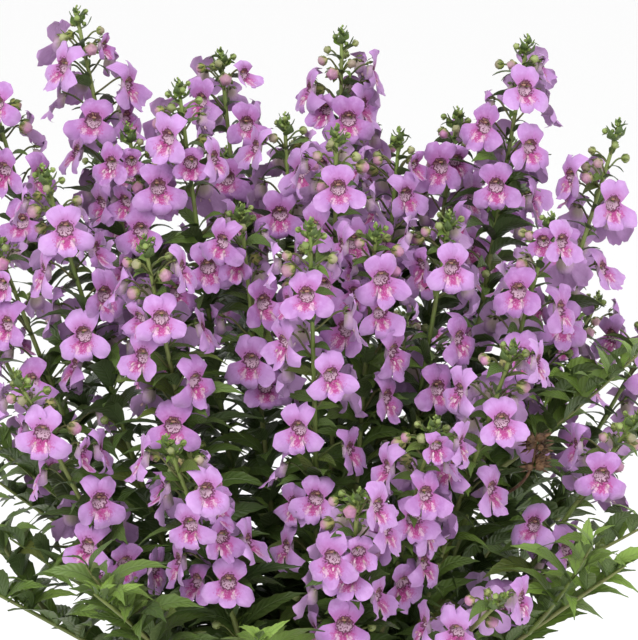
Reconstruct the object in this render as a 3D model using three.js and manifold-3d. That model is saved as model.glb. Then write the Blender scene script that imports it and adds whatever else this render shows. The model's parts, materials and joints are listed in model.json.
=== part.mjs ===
// Potted angelonia: a bushy bedding plant in a plain round pot. Upright square stems fan out of the
// potting soil. Each carries toothed lance-shaped leaves below and a raceme above, with two-lipped,
// five-lobed mauve blooms on thin stalks, round buds over them and a tight green tip.
// Millimetres, +Z up. The origin is the centre of the pot's flat underside, and -Y is the front.
import * as THREE from "three";
import { mergeVertices } from "three/addons/utils/BufferGeometryUtils.js";
import Module from "manifold-3d";

const wasm = await Module();
wasm.setup();

// Pot and soil
const POT_HEIGHT = 140;
const POT_RIM_RADIUS = 93;
const POT_FOOT_RADIUS = 66;
const POT_WALL = 2.6;
const POT_FLOOR = 3.2;
const RIM_HEIGHT = 17;
const RIM_PROUD = 3.2;
const POT_SIDES = 20;
const DRAIN_RADIUS = 5;
const DRAIN_RING = 46;
const DRAIN_COUNT = 4;
const SOIL_LEVEL = 124;
const SOIL_CROWN = 3;
const SOIL_GAP = 0.3;
// Leaves and blooms may hang this low outside the rim
const RIM_OUTSIDE = 110;

// Stems, which stand upright in the soil and then fan out from their feet
const STEM_RADIUS = 1.9;
const STEM_TOP_RADIUS = 1.15;
const STEM_SUNK = 13;
const STEM_UPRIGHT = 2;
const STEM_BENDS = 2;
const STEM_SWAY = 2.5;
const FOOT_SHARE = 0.36;
// How far a stem leans out low down, for a low shoot and for one of the tall rise
const STEM_FLARE = [0.62, 1.24];
const TALL_RISE = 240;
const TIP_LENGTH = 11;
const TIP_SWELL = 0.6;
const TIP_RADIUS = 2.7;
const HOLE_GAP = 0.3;
// How deep roots go into the stem, as shares of the way to its middle line
const STALK_SUNK = 0.6;
const LEAF_SUNK = 0.9;

// Blooms, measured from the calyx at the end of the stalk: x right, y up, z forward
const BLOOM_DROP = -3.5;
const THROAT_FORWARD = 3.6;
const CALYX_RADIUS = 1.3;
const STALK_RADIUS = 0.45;
const STALK_LENGTH = 15;
const STALK_LIFT = 38;
// Lobe tips and the notches between them as [angle, reach, forward], anticlockwise from the right
const BLOOM_EDGE = [
  [-34, 13.9, 7.0], [11, 7.4, 4.8], [57, 12.8, 4.2], [90, 9.6, 4.4], [123, 12.8, 4.2],
  [169, 7.4, 4.8], [214, 13.9, 7.0], [246, 8.4, 7.6], [270, 12.4, 9.6], [294, 8.4, 7.6],
];
// The middle of each lobe, where it needs room round it, in the same form
const BLOOM_LOBES = [[57, 8.2, 4.4], [123, 8.2, 4.4], [212, 8.8, 6.2], [270, 7.6, 8.0], [328, 8.8, 6.2]];
const LOBE_ROOM = 4.3;
const POUCH_ROOM = 3.6;
// The least and most of a raceme's top that has buds and no blooms yet, as shares of its length
const BUD_ZONE = [0.17, 0.3];
// Blooms look away from an upright line this far behind the pot's middle, and to both sides of that
const FACE_LINE = 85;
const FACE_SPREAD = 118;
const GOLDEN = 0.618034;

// Buds
const BUD_RADIUS = 2.5;
const BUD_LENGTH = 4.6;
const BUD_STALK = 10;
const BUD_NOD = 19;
// How far down the bud zone the largest bud grows
const BUD_SHARE = 0.8;

// Leaves, whose rib bends once
const LEAF_LENGTH = 44;
const LEAF_HALF_WIDTH = 5.2;
const LEAF_HALF_THICK = 0.6;
const LEAF_BEND = 0.46;
const LEAF_RISE = 52;
const LEAF_DROOP = [14.5, 46];
const LEAF_FOLD = 0.2;
const LEAF_TURN = 34;
const LEAF_LOWEST = 26;
const LEAF_ZONE = 70;
// Half of the toothed edge as [share of length, share of half width]
const LEAF_EDGE = [[0.36, 1.0], [0.5, 0.78], [0.66, 0.76]];
// Room round the rib as [share of length, radius]
const LEAF_ROOM = [[0.16, 2.2], [0.3, 4], [0.44, 4.6], [0.62, 4], [0.78, 2.8], [0.95, 1.3]];
// Outer stems have more leaf pairs than inner ones, and the innermost none
const OUTER_REACH = 85;
const INNER_REACH = 50;

const ROOM = 0.4;
const TRIES = 16;
const SEED = 20391;

// Flowering stems as [tip x, tip y, tip z, raceme length, blooms]
const FLOWERING = [
  [-115, 40, 454, 92, 9], [-155, 10, 422, 84, 7], [-126, -50, 387, 100, 9], [-89, -10, 403, 92, 8],
  [-65, -20, 424, 92, 8], [-47, 60, 433, 92, 7], [-16, 8, 406, 84, 7], [11, 66, 443, 92, 7],
  [8, -34, 404, 88, 8], [38, 22, 398, 84, 6], [66, 42, 406, 84, 6], [98, 16, 442, 92, 9],
  [141, 12, 403, 112, 8], [-79, -82, 358, 92, 8], [-138, -88, 298, 100, 8], [-4, -96, 367, 160, 12],
  [26, -60, 361, 88, 7], [60, -42, 365, 96, 8], [107, -40, 364, 90, 8], [88, -92, 312, 76, 6],
  [52, -112, 280, 88, 7], [147, -62, 276, 110, 8], [-68, -122, 273, 76, 7], [18, -140, 252, 74, 6],
  [84, -134, 204, 44, 3], [-36, -36, 368, 90, 6], [-150, -34, 354, 92, 6],
  [-110, 100, 384, 92, 6], [-46, 128, 380, 92, 6], [26, 122, 394, 96, 6], [94, 96, 388, 92, 6],
  [-84, 148, 306, 88, 6], [46, 160, 302, 88, 6], [138, 110, 310, 88, 6],
  [-164, 48, 312, 84, 5], [164, 46, 306, 84, 5],
];
// Leafy shoots as [tip x, tip y, tip z]
const LEAFY = [
  [-160, -64, 198], [-100, -132, 204], [-28, -150, 186], [138, -96, 210], [118, -6, 286],
  [-130, 108, 206], [2, 164, 192], [108, 138, 200],
];

const UP = [0, 0, 1];
const radians = (angle) => (angle * Math.PI) / 180;
const turnOf = (x, y) => (Math.atan2(y, x) * 180) / Math.PI;
const add = (a, b, share = 1) => [a[0] + b[0] * share, a[1] + b[1] * share, a[2] + b[2] * share];
const along = (a, b, share) => add(a, add(b, a, -1), share);
const dot = (a, b) => a[0] * b[0] + a[1] * b[1] + a[2] * b[2];
const cross = (a, b) => [a[1] * b[2] - a[2] * b[1], a[2] * b[0] - a[0] * b[2], a[0] * b[1] - a[1] * b[0]];
const unit = (a) => add([0, 0, 0], a, 1 / Math.sqrt(dot(a, a)));

// The direction of an azimuth from +X, level or lifted
const level = (azimuth) => [Math.cos(radians(azimuth)), Math.sin(radians(azimuth)), 0];
const lifted = (way, lift) => add(add([0, 0, 0], way, Math.cos(radians(lift))), UP, Math.sin(radians(lift)));

// A number from 0 to 1 that depends only on the seed and the whole numbers given
function draw(...keys) {
  let hash = SEED;
  for (const key of keys) {
    hash = Math.imul(hash ^ (key + 1), 0x9e3779b1) >>> 0;
    hash = Math.imul(hash ^ (hash >>> 15), 0x85ebca6b) >>> 0;
    hash = (hash ^ (hash >>> 13)) >>> 0;
  }
  return hash / 4294967296;
}

const between = (low, high, ...keys) => low + (high - low) * draw(...keys);

// A stem's middle line runs straight between stations, up to its tip
function makeStem([x, y, z, raceme = 0, blooms = 0], id) {
  const rise = z - SOIL_LEVEL;
  const flare = STEM_FLARE[0] + (STEM_FLARE[1] - STEM_FLARE[0]) * Math.min(1, rise / TALL_RISE);
  const stations = [-STEM_SUNK, STEM_UPRIGHT, rise - TIP_LENGTH, rise].map((height) => ({ height }));
  for (let i = 1; i < STEM_BENDS; i++)
    stations.splice(1 + i, 0, { height: ((rise - TIP_LENGTH) * i) / STEM_BENDS, sway: STEM_SWAY });
  stations.forEach((station, i) => {
    const share = Math.max(0, (station.height - STEM_UPRIGHT) / (rise - STEM_UPRIGHT));
    const out = FOOT_SHARE + (1 - FOOT_SHARE) * share * (flare - (flare - 1) * share);
    const straight = [x * out, y * out, SOIL_LEVEL + station.height];
    station.at = add(straight, level(360 * draw(id, 9, i)), station.sway ?? 0);
  });
  return {
    id, rise, raceme, blooms, stations,
    reach: Math.hypot(x, y),
    outward: turnOf(x, y),
    facing: turnOf(x * 0.7, y - FACE_LINE),
    turn: draw(id, 8),
    budZone: raceme * between(...BUD_ZONE, id, 12),
  };
}

function stemPoint({ stations }, height) {
  const next = Math.max(1, stations.findIndex((station) => station.height >= height));
  const [low, high] = [stations[next - 1], stations[next]];
  return along(low.at, high.at, (height - low.height) / (high.height - low.height));
}

function stemRadius(stem, height) {
  return STEM_RADIUS + (STEM_TOP_RADIUS - STEM_RADIUS) * Math.max(0, height / stem.rise);
}

// Where a piece grows: the middle of the flat side of its stem that looks its way
function nodeAt(stem, height, azimuth) {
  const centre = stemPoint(stem, height);
  const at = add(centre, level(90 * Math.floor(azimuth / 90 + 0.5)), stemRadius(stem, height) * Math.SQRT1_2);
  return { at, centre, out: level(azimuth) };
}

// The pot's inner radius at a height
function innerRadius(z) {
  return POT_FOOT_RADIUS - POT_WALL + ((POT_RIM_RADIUS - RIM_PROUD - POT_FOOT_RADIUS) * z) / POT_HEIGHT;
}

// Room taken by what is placed so far, as balls [x, y, z, radius, 1 near a root], in a grid of cells
const CELL = 14;
const taken = new Map();
const cellOf = (v) => Math.floor(v / CELL);

function take(balls, owner) {
  for (const ball of balls) {
    const key = `${cellOf(ball[0])},${cellOf(ball[1])},${cellOf(ball[2])}`;
    if (!taken.has(key)) taken.set(key, []);
    taken.get(key).push([ball, owner]);
  }
}

function* takenNear([x, y, z]) {
  for (const i of [-1, 0, 1])
    for (const j of [-1, 0, 1])
      for (const k of [-1, 0, 1])
        yield* taken.get(`${cellOf(x) + i},${cellOf(y) + j},${cellOf(z) + k}`) ?? [];
}

// True over the soil and clear of the pot's rim
function isOverPot([x, y, z, radius]) {
  const reach = Math.hypot(x, y);
  if (z - radius > POT_HEIGHT + 1) return true;
  if (reach - radius > POT_RIM_RADIUS + 1) return z - radius > RIM_OUTSIDE;
  return z - radius > SOIL_LEVEL + 1 && reach + radius < innerRadius(SOIL_LEVEL) - 1;
}

// True if a ball reaches nothing taken. Near its root a piece may meet its own stem.
function isClear(ball, owner) {
  for (const [other, stem] of takenNear(ball)) {
    if (stem === owner && (ball[4] || other[4])) continue;
    const gap = add(ball, other, -1);
    const reach = ball[3] + other[3] + (stem === owner ? 0 : ROOM);
    if (dot(gap, gap) < reach * reach) return false;
  }
  return true;
}

// The first clear try of a piece, which then takes its room
function place(stem, list, tryPiece) {
  for (let attempt = 0; attempt < TRIES; attempt++) {
    const swing = (attempt % 2 ? 1 : -1) * Math.ceil(attempt / 2);
    const piece = tryPiece(swing, attempt % 3);
    if (!piece.balls.every((ball) => isOverPot(ball) && isClear(ball, stem.id))) continue;
    take(piece.balls, stem.id);
    list.push(piece);
    return;
  }
}

// A point of a bloom's own frame in the part's frame
function inBloom({ calyx, right, up, forward, size }, x, y, z) {
  return add(add(add(calyx, right, x * size), up, y * size), forward, z * size);
}

function onBloom(bloom, [angle, reach, forward]) {
  const [x, y] = level(angle);
  return inBloom(bloom, x * reach, BLOOM_DROP + y * reach, forward);
}

function tryBloom(stem, index, swing, longer) {
  const last = stem.blooms - 1;
  const vary = (low, high, kind) => between(low, high, stem.id, kind, index);
  const spread = 2 * ((index * GOLDEN + stem.turn) % 1) - 1;
  const azimuth = stem.facing + FACE_SPREAD * spread + 17 * swing;
  const height = along([stem.rise - stem.raceme], [stem.rise - stem.budZone], index / last)[0];
  const node = nodeAt(stem, height, azimuth);
  const size = vary(0.94, 1.05, 1) * (index === last ? 0.93 : 1);
  const way = lifted(node.out, STALK_LIFT + vary(-8, 8, 2));
  const length = (STALK_LENGTH + 1.5 * longer) * vary(0.95, 1.08, 3);
  const forward = lifted(level(azimuth + vary(-13, 13, 4)), vary(-4, 14, 5));
  const side = unit(cross(UP, forward));
  const roll = radians(vary(-9, 9, 6));
  const right = add(add([0, 0, 0], side, Math.cos(roll)), cross(forward, side), Math.sin(roll));
  const [calyx, up] = [add(node.at, way, length), cross(forward, right)];
  const bloom = { node, calyx, right, up, forward, size };
  bloom.balls = BLOOM_LOBES.map((lobe) => [...onBloom(bloom, lobe), LOBE_ROOM * size, 0]);
  bloom.balls.push([...inBloom(bloom, 0, -3, 2.6), POUCH_ROOM * size, 0]);
  for (const share of [0.5, 0.8]) bloom.balls.push([...add(node.at, way, length * share), 0.9, 1]);
  return bloom;
}

function tryLeaf(stem, height, azimuth, scale, swing) {
  const turn = azimuth + 14 * swing;
  const node = nodeAt(stem, height, turn);
  const rise = LEAF_RISE + between(-9, 9, stem.id, 7, Math.floor(height));
  const foot = along(node.at, node.centre, LEAF_SUNK);
  const bend = add(foot, lifted(node.out, rise - LEAF_DROOP[0]), LEAF_LENGTH * scale * LEAF_BEND);
  const tip = add(bend, lifted(node.out, rise - LEAF_DROOP[1]), LEAF_LENGTH * scale * (1 - LEAF_BEND));
  // A blade that points sideways turns its upper face away from the plant's middle
  const side = lifted(level(turn + 90), LEAF_TURN * Math.sin(radians(turn - stem.outward)));
  const leaf = { foot, bend, tip, side, face: cross(node.out, side), width: LEAF_HALF_WIDTH * scale };
  leaf.balls = LEAF_ROOM.map(([share, radius], i) => [...onRib(leaf, share), radius * scale, i ? 0 : 1]);
  return leaf;
}

function onRib({ foot, bend, tip }, share) {
  if (share < LEAF_BEND) return along(foot, bend, share / LEAF_BEND);
  return along(bend, tip, (share - LEAF_BEND) / (1 - LEAF_BEND));
}

function tryBud(stem, swing) {
  const node = nodeAt(stem, stem.rise - stem.budZone * BUD_SHARE, stem.facing - 75 + 24 * swing);
  const way = lifted(node.out, STALK_LIFT);
  const neck = add(node.at, way, BUD_STALK);
  const nod = lifted(node.out, -BUD_NOD);
  const balls = [[...add(neck, nod, BUD_LENGTH / 2), BUD_RADIUS + 0.4, 0], [...add(node.at, way, 6), 0.8, 1]];
  return { node, way, neck, nod, balls };
}

// Leaves grow in opposite pairs, each turned about a quarter from the next, under the raceme
function leafRows(stem) {
  const pairs = stem.blooms ? (stem.reach > OUTER_REACH ? 2 : stem.reach > INNER_REACH ? 1 : 0) : 3;
  const top = stem.rise - (stem.blooms ? stem.raceme + 4 : 14);
  const low = Math.min(top, Math.max(LEAF_LOWEST, stem.blooms ? top - LEAF_ZONE : 0));
  const rows = [];
  for (let pair = 0; pair < pairs; pair++) {
    const height = along([top], [low], pair / Math.max(1, pairs - 1))[0];
    const young = stem.blooms ? 1 : Math.min(1, 0.62 + 0.2 * pair);
    const scale = between(0.86, 1, stem.id, 11, pair) * young;
    const azimuth = stem.outward + between(-25, 25, stem.id, 10, pair) + (pair % 2 ? 80 : -10);
    rows.push([height, azimuth, scale], [height, azimuth + (pair % 2 ? 200 : 180), scale]);
  }
  return rows;
}

const stems = [...FLOWERING, ...LEAFY].map(makeStem);

for (const stem of stems)
  for (let height = -STEM_SUNK; height <= stem.rise; height += 5) {
    const radius = height > stem.rise - TIP_LENGTH ? TIP_RADIUS : stemRadius(stem, height);
    take([[...stemPoint(stem, height), radius + 0.5, 0]], stem.id);
  }

for (const stem of stems) {
  stem.bloomList = [];
  for (let index = 0; index < stem.blooms; index++)
    place(stem, stem.bloomList, (swing, longer) => tryBloom(stem, index, swing, longer));
}

for (const stem of stems) {
  stem.leafList = [];
  for (const [height, azimuth, scale] of leafRows(stem))
    place(stem, stem.leafList, (swing) => tryLeaf(stem, height, azimuth, scale, swing));
  stem.budList = [];
  if (stem.blooms) place(stem, stem.budList, (swing) => tryBud(stem, swing));
}

// A closed body from a geometry, whose shared corners are merged
function bodyOf(geometry) {
  geometry.deleteAttribute("normal");
  geometry.deleteAttribute("uv");
  const merged = mergeVertices(geometry, 1e-4);
  return new wasm.Manifold(
    new wasm.Mesh({
      numProp: 3,
      vertProperties: merged.attributes.position.array,
      triVerts: new Uint32Array(merged.index.array),
    }),
  );
}

function bodyFrom(points, triangles) {
  const geometry = new THREE.BufferGeometry();
  geometry.setAttribute("position", new THREE.Float32BufferAttribute(points.flat(), 3));
  geometry.setIndex(triangles.flat());
  return bodyOf(geometry);
}

// Triangles between two rings of the same number of points, the second further along
function band(first, second, count) {
  const triangles = [];
  for (let i = 0; i < count; i++) {
    const next = (i + 1) % count;
    triangles.push([first + i, first + next, second + next], [first + i, second + next, second + i]);
  }
  return triangles;
}

// The corners of a square stem, all stems standing the same way round
const stemCorners = (centre, radius) => [45, 135, 225, 315].map((angle) => add(centre, level(angle), radius));

// A square stem with its swollen tip of tight green buds
function stemBody(stem) {
  const rings = stem.stations.slice(0, -1).map(({ at, height }) => stemCorners(at, stemRadius(stem, height)));
  rings.push(stemCorners(stemPoint(stem, stem.rise - TIP_LENGTH * TIP_SWELL), TIP_RADIUS));
  const points = [...rings.flat(), stemPoint(stem, stem.rise)];
  const triangles = [[0, 2, 1], [0, 3, 2]];
  for (let i = 4; i < 4 * rings.length; i += 4) triangles.push(...band(i - 4, i, 4));
  const last = 4 * (rings.length - 1);
  for (let i = 0; i < 4; i++) triangles.push([last + i, last + ((i + 1) % 4), points.length - 1]);
  return bodyFrom(points, triangles);
}

// One bloom with its stalk: a star-shaped cup that closes behind on the three corners of its calyx
function bloomBody(bloom) {
  const corners = [30, 150, 270].map(level);
  const points = [
    ...BLOOM_EDGE.map((edge) => onBloom(bloom, edge)),
    inBloom(bloom, 0, BLOOM_DROP, THROAT_FORWARD),
    ...corners.map(([x, y]) => inBloom(bloom, x * CALYX_RADIUS, y * CALYX_RADIUS, 0)),
  ];
  const edges = BLOOM_EDGE.length;
  const [throat, calyx, root] = [edges, edges + 1, edges + 4];
  const foot = along(bloom.node.at, bloom.node.centre, STALK_SUNK);
  for (const [x, y] of corners)
    points.push(add(add(foot, bloom.right, x * STALK_RADIUS), bloom.up, y * STALK_RADIUS));
  const triangles = [...band(root, calyx, 3), [root, root + 2, root + 1]];
  for (let i = 0; i < edges; i++) {
    const next = (i + 1) % edges;
    const [here, there] = [i, next].map((edge) => calyx + Math.floor((BLOOM_EDGE[edge][0] + 390) / 120) % 3);
    triangles.push([i, next, throat], [next, i, here]);
    if (here !== there) triangles.push([next, here, there]);
  }
  return bodyFrom(points, triangles);
}

// A nodding bud on its stalk
function budBody({ node, way, neck, nod }) {
  const foot = along(node.at, node.centre, STALK_SUNK);
  const points = [
    ...triangleRound(foot, way, STALK_RADIUS), ...triangleRound(neck, way, STALK_RADIUS),
    ...triangleRound(add(neck, nod, BUD_LENGTH / 2), nod, BUD_RADIUS), add(neck, nod, BUD_LENGTH),
  ];
  const tip = [[6, 7, 9], [7, 8, 9], [8, 6, 9]];
  return bodyFrom(points, [[0, 2, 1], ...band(0, 3, 3), ...band(3, 6, 3), ...tip]);
}

// Three corners round a level or rising axis, anticlockwise seen from its far end
function triangleRound(centre, axis, radius) {
  const across = unit(cross(axis, UP));
  const over = cross(axis, across);
  return [60, 180, 300].map(level).map(([x, y]) => add(add(centre, across, x * radius), over, y * radius));
}

// A toothed blade, thickest at the bend of its rib and split alike on both faces
function leafBody(leaf) {
  const { side, face, width } = leaf;
  const points = [leaf.foot, leaf.tip];
  for (const hand of [1, -1])
    for (const [share, part] of LEAF_EDGE)
      points.push(add(add(onRib(leaf, share), side, hand * part * width), face, part * width * LEAF_FOLD));
  points.push(add(leaf.bend, face, LEAF_HALF_THICK), add(leaf.bend, face, -LEAF_HALF_THICK));
  const [left, right, above, below] = [2, 5, 8, 9];
  const half = (edge, rib) => [
    [0, edge, rib], [edge, edge + 1, rib], [edge + 1, edge + 2, rib], [edge + 2, 1, rib],
  ];
  const turned = (list) => list.map(([a, b, c]) => [a, c, b]);
  return bodyFrom(points, [
    ...turned(half(left, above)), ...half(right, above), ...half(left, below), ...turned(half(right, below)),
  ]);
}

function lathe(profile) {
  const outline = profile.map(([radius, z]) => new THREE.Vector2(radius, z));
  return bodyOf(new THREE.LatheGeometry(outline, POT_SIDES).rotateX(Math.PI / 2));
}

// An upright prism whose flat sides look along X and Y where it has four or eight
function prism(x, y, radius, low, high, sides) {
  const geometry = new THREE.CylinderGeometry(radius, radius, high - low, sides, 1);
  return bodyOf(geometry.rotateX(Math.PI / 2).rotateZ(Math.PI / sides).translate(x, y, (low + high) / 2));
}

// A tapered pot with a deep plain rim, a flat underside and drain holes
function potBody() {
  const outer = (z) => innerRadius(z) + POT_WALL;
  const rimFoot = POT_HEIGHT - RIM_HEIGHT;
  const pot = lathe([
    [0, 0], [outer(0) - 2, 0], [outer(2), 2], [outer(rimFoot), rimFoot],
    [POT_RIM_RADIUS - 0.8, rimFoot + 1], [POT_RIM_RADIUS, POT_HEIGHT - 1.5],
    [POT_RIM_RADIUS - 1.5, POT_HEIGHT],
    [innerRadius(POT_HEIGHT), POT_HEIGHT], [innerRadius(POT_FLOOR), POT_FLOOR], [0, POT_FLOOR],
  ]);
  const drains = [];
  for (let i = 0; i < DRAIN_COUNT; i++) {
    const [x, y] = level(45 + (360 / DRAIN_COUNT) * i);
    drains.push(prism(x * DRAIN_RING, y * DRAIN_RING, DRAIN_RADIUS, -1, POT_FLOOR + 1, 8));
  }
  return pot.subtract(wasm.Manifold.union(drains));
}

// The soil fills the pot to just under its rim, with a plain hole for each stem
function soilBody() {
  const side = (z) => innerRadius(z) - SOIL_GAP;
  const [low, shoulder] = [POT_FLOOR + SOIL_GAP, SOIL_LEVEL - SOIL_CROWN];
  const soil = lathe([
    [0, low], [side(low), low], [side(shoulder), shoulder],
    [side(SOIL_LEVEL) * 0.86, SOIL_LEVEL], [0, SOIL_LEVEL],
  ]);
  const bottom = SOIL_LEVEL - STEM_SUNK - HOLE_GAP;
  const holes = stems.map(({ stations }) => {
    const [x, y] = stations[0].at;
    return prism(x, y, STEM_RADIUS + HOLE_GAP * Math.SQRT2, bottom, SOIL_LEVEL + 9, 4);
  });
  return soil.subtract(wasm.Manifold.union(holes));
}

// A whole stem with all that grows on it, in one body
function plantBody(stem) {
  return wasm.Manifold.union([
    stemBody(stem), ...stem.leafList.map(leafBody),
    ...stem.bloomList.map(bloomBody), ...stem.budList.map(budBody),
  ]);
}

function meshOf(name, body, material) {
  const { vertProperties, triVerts } = body.getMesh();
  const geometry = new THREE.BufferGeometry();
  geometry.setAttribute("position", new THREE.BufferAttribute(vertProperties, 3));
  geometry.setIndex(new THREE.BufferAttribute(triVerts, 1));
  const mesh = new THREE.Mesh(geometry, material);
  mesh.name = name;
  return mesh;
}

const materials = {
  pot: new THREE.MeshStandardMaterial({ color: 0x9a5a3c, roughness: 0.7, metalness: 0 }),
  soil: new THREE.MeshStandardMaterial({ color: 0x33241a, roughness: 1, metalness: 0 }),
  bloom: new THREE.MeshStandardMaterial({ color: 0xbf7ac6, roughness: 0.6, metalness: 0 }),
  leaf: new THREE.MeshStandardMaterial({ color: 0x3f5c34, roughness: 0.5, metalness: 0 }),
};

const angelonia = new THREE.Group();
angelonia.add(meshOf("pot", potBody(), materials.pot));
angelonia.add(meshOf("potting_soil", soilBody(), materials.soil));
for (const stem of stems) {
  const [kind, first] = stem.blooms ? ["flowering_stem", 0] : ["leafy_shoot", FLOWERING.length];
  const number = String(stem.id - first + 1).padStart(2, "0");
  angelonia.add(meshOf(`${kind}_${number}`, plantBody(stem), stem.blooms ? materials.bloom : materials.leaf));
}

export default angelonia;
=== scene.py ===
"""The looks of the potted angelonia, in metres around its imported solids.

Every stem is grown again from the same numbers as its solid, in millimetres, and then dressed: rounded
blooms with a marked throat, buds, bracts, seed capsules, and toothed and veined leaves.
"""
import json
import math

import bpy
import numpy as np
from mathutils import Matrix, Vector

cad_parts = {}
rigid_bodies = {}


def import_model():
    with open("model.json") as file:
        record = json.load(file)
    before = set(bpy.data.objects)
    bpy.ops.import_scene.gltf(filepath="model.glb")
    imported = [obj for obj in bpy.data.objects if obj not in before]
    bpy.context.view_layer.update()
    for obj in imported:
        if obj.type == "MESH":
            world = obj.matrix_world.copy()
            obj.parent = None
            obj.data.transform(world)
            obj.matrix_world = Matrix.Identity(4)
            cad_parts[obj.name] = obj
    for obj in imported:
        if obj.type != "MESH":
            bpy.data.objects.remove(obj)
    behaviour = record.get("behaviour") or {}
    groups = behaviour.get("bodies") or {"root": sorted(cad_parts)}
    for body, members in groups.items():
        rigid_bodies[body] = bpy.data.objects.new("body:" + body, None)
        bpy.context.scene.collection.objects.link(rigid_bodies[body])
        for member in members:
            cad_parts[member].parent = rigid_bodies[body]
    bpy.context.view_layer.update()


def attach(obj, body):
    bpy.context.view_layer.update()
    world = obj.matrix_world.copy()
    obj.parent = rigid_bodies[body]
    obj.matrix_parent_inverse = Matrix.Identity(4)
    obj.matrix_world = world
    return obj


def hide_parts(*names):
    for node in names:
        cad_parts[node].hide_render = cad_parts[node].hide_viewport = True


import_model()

MM = 0.001
scene = bpy.context.scene

# Pot, soil and stems, the same as their solids
POT_HEIGHT = 140
POT_RIM_RADIUS = 93
POT_FOOT_RADIUS = 66
POT_WALL = 2.6
POT_FLOOR = 3.2
RIM_HEIGHT = 17
RIM_PROUD = 3.2
DRAIN_RADIUS = 5
DRAIN_RING = 46
DRAIN_COUNT = 4
SOIL_LEVEL = 124
SOIL_CROWN = 3
SOIL_GAP = 0.3
RIM_OUTSIDE = 110
STEM_RADIUS = 1.9
STEM_TOP_RADIUS = 1.15
STEM_SUNK = 13
STEM_UPRIGHT = 2
STEM_SWAY = 2.5
FOOT_SHARE = 0.36
STEM_FLARE = (0.62, 1.24)
TALL_RISE = 240
TIP_LENGTH = 11
TIP_RADIUS = 2.7
LEAF_SUNK = 0.9

# Blooms, from the calyx: x right, y up, z forward
BLOOM_DROP = -3.5
STALK_LENGTH = 15
STALK_LIFT = 38
STALK_LONGER = 1.5
STALK_VARIES = (0.95, 1.08)
# Lobe tips and the notches between them as (angle, reach, forward), anticlockwise from the right
BLOOM_EDGE = (
    (-34, 13.9, 7.0), (11, 7.4, 4.8), (57, 12.8, 4.2), (90, 9.6, 4.4), (123, 12.8, 4.2),
    (169, 7.4, 4.8), (214, 13.9, 7.0), (246, 8.4, 7.6), (270, 12.4, 9.6), (294, 8.4, 7.6),
)
BLOOM_LOBES = ((57, 8.2, 4.4), (123, 8.2, 4.4), (212, 8.8, 6.2), (270, 7.6, 8.0), (328, 8.8, 6.2))
LOBE_ROOM = 4.3
POUCH_ROOM = 3.6
BLOOM_SIZE = (0.94, 1.05)
BLOOM_OPEN = (0.75, 1.15)
BLOOM_TURN = (-13, 13)
BLOOM_NOD = (-4, 14)
BLOOM_ROLL = (-9, 9)
LAST_BLOOM = 0.93
BLOOM_SWING = 17
BUD_ZONE = (0.17, 0.3)
FACE_LINE = 85
FACE_SPREAD = 118
GOLDEN = 0.618034
BUD_RADIUS = 2.5
BUD_LENGTH = 4.6
BUD_STALK = 10
BUD_NOD = 19
BUD_TURN = -75
BUD_SWING = 24
BUD_SHARE = 0.8
LEAF_LENGTH = 44
LEAF_HALF_WIDTH = 5.2
LEAF_BEND = 0.46
LEAF_RISE = 52
LEAF_DROOP = (14.5, 46)
LEAF_FOLD = 0.2
LEAF_TURN = 34
LEAF_LOWEST = 26
LEAF_ZONE = 70
LEAF_SWING = 14
LEAF_SCALE = (0.86, 1)
LEAF_PAIR_SPREAD = (-25, 25)
# The size of a shoot's uppermost leaves, and how much larger each next pair is
SHOOT_LEAF = (0.62, 0.2)
LEAF_ROOM = ((0.16, 2.2), (0.3, 4), (0.44, 4.6), (0.62, 4), (0.78, 2.8), (0.95, 1.3))
OUTER_REACH = 85
INNER_REACH = 50
ROOM = 0.4
TRIES = 16
SEED = 20391
MIXERS = (0x9E3779B1, 0x85EBCA6B)
WORD = 2 ** 32
CELL = 14

# Flowering stems as (tip x, tip y, tip z, raceme length, blooms)
FLOWERING = (
    (-115, 40, 454, 92, 9), (-155, 10, 422, 84, 7), (-126, -50, 387, 100, 9), (-89, -10, 403, 92, 8),
    (-65, -20, 424, 92, 8), (-47, 60, 433, 92, 7), (-16, 8, 406, 84, 7), (11, 66, 443, 92, 7),
    (8, -34, 404, 88, 8), (38, 22, 398, 84, 6), (66, 42, 406, 84, 6), (98, 16, 442, 92, 9),
    (141, 12, 403, 112, 8), (-79, -82, 358, 92, 8), (-138, -88, 298, 100, 8), (-4, -96, 367, 160, 12),
    (26, -60, 361, 88, 7), (60, -42, 365, 96, 8), (107, -40, 364, 90, 8), (88, -92, 312, 76, 6),
    (52, -112, 280, 88, 7), (147, -62, 276, 110, 8), (-68, -122, 273, 76, 7), (18, -140, 252, 74, 6),
    (84, -134, 204, 44, 3), (-36, -36, 368, 90, 6), (-150, -34, 354, 92, 6),
    (-110, 100, 384, 92, 6), (-46, 128, 380, 92, 6), (26, 122, 394, 96, 6), (94, 96, 388, 92, 6),
    (-84, 148, 306, 88, 6), (46, 160, 302, 88, 6), (138, 110, 310, 88, 6),
    (-164, 48, 312, 84, 5), (164, 46, 306, 84, 5),
)
# Leafy shoots as (tip x, tip y, tip z)
LEAFY = (
    (-160, -64, 198), (-100, -132, 204), (-28, -150, 186), (138, -96, 210), (118, -6, 286),
    (-130, 108, 206), (2, 164, 192), (108, 138, 200),
)
STEMS_TOGETHER = 3
SHOOTS_TOGETHER = 4

UP = (0.0, 0.0, 1.0)


def link(name, data):
    """A new object in the scene."""
    thing = bpy.data.objects.new(name, data)
    scene.collection.objects.link(thing)
    return thing


def turn_of(x, y):
    return math.degrees(math.atan2(y, x))


def add(a, b, share=1.0):
    return (a[0] + b[0] * share, a[1] + b[1] * share, a[2] + b[2] * share)


def along(a, b, share):
    return add(a, add(b, a, -1), share)


def dot(a, b):
    return a[0] * b[0] + a[1] * b[1] + a[2] * b[2]


def cross(a, b):
    return (a[1] * b[2] - a[2] * b[1], a[2] * b[0] - a[0] * b[2], a[0] * b[1] - a[1] * b[0])


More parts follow.
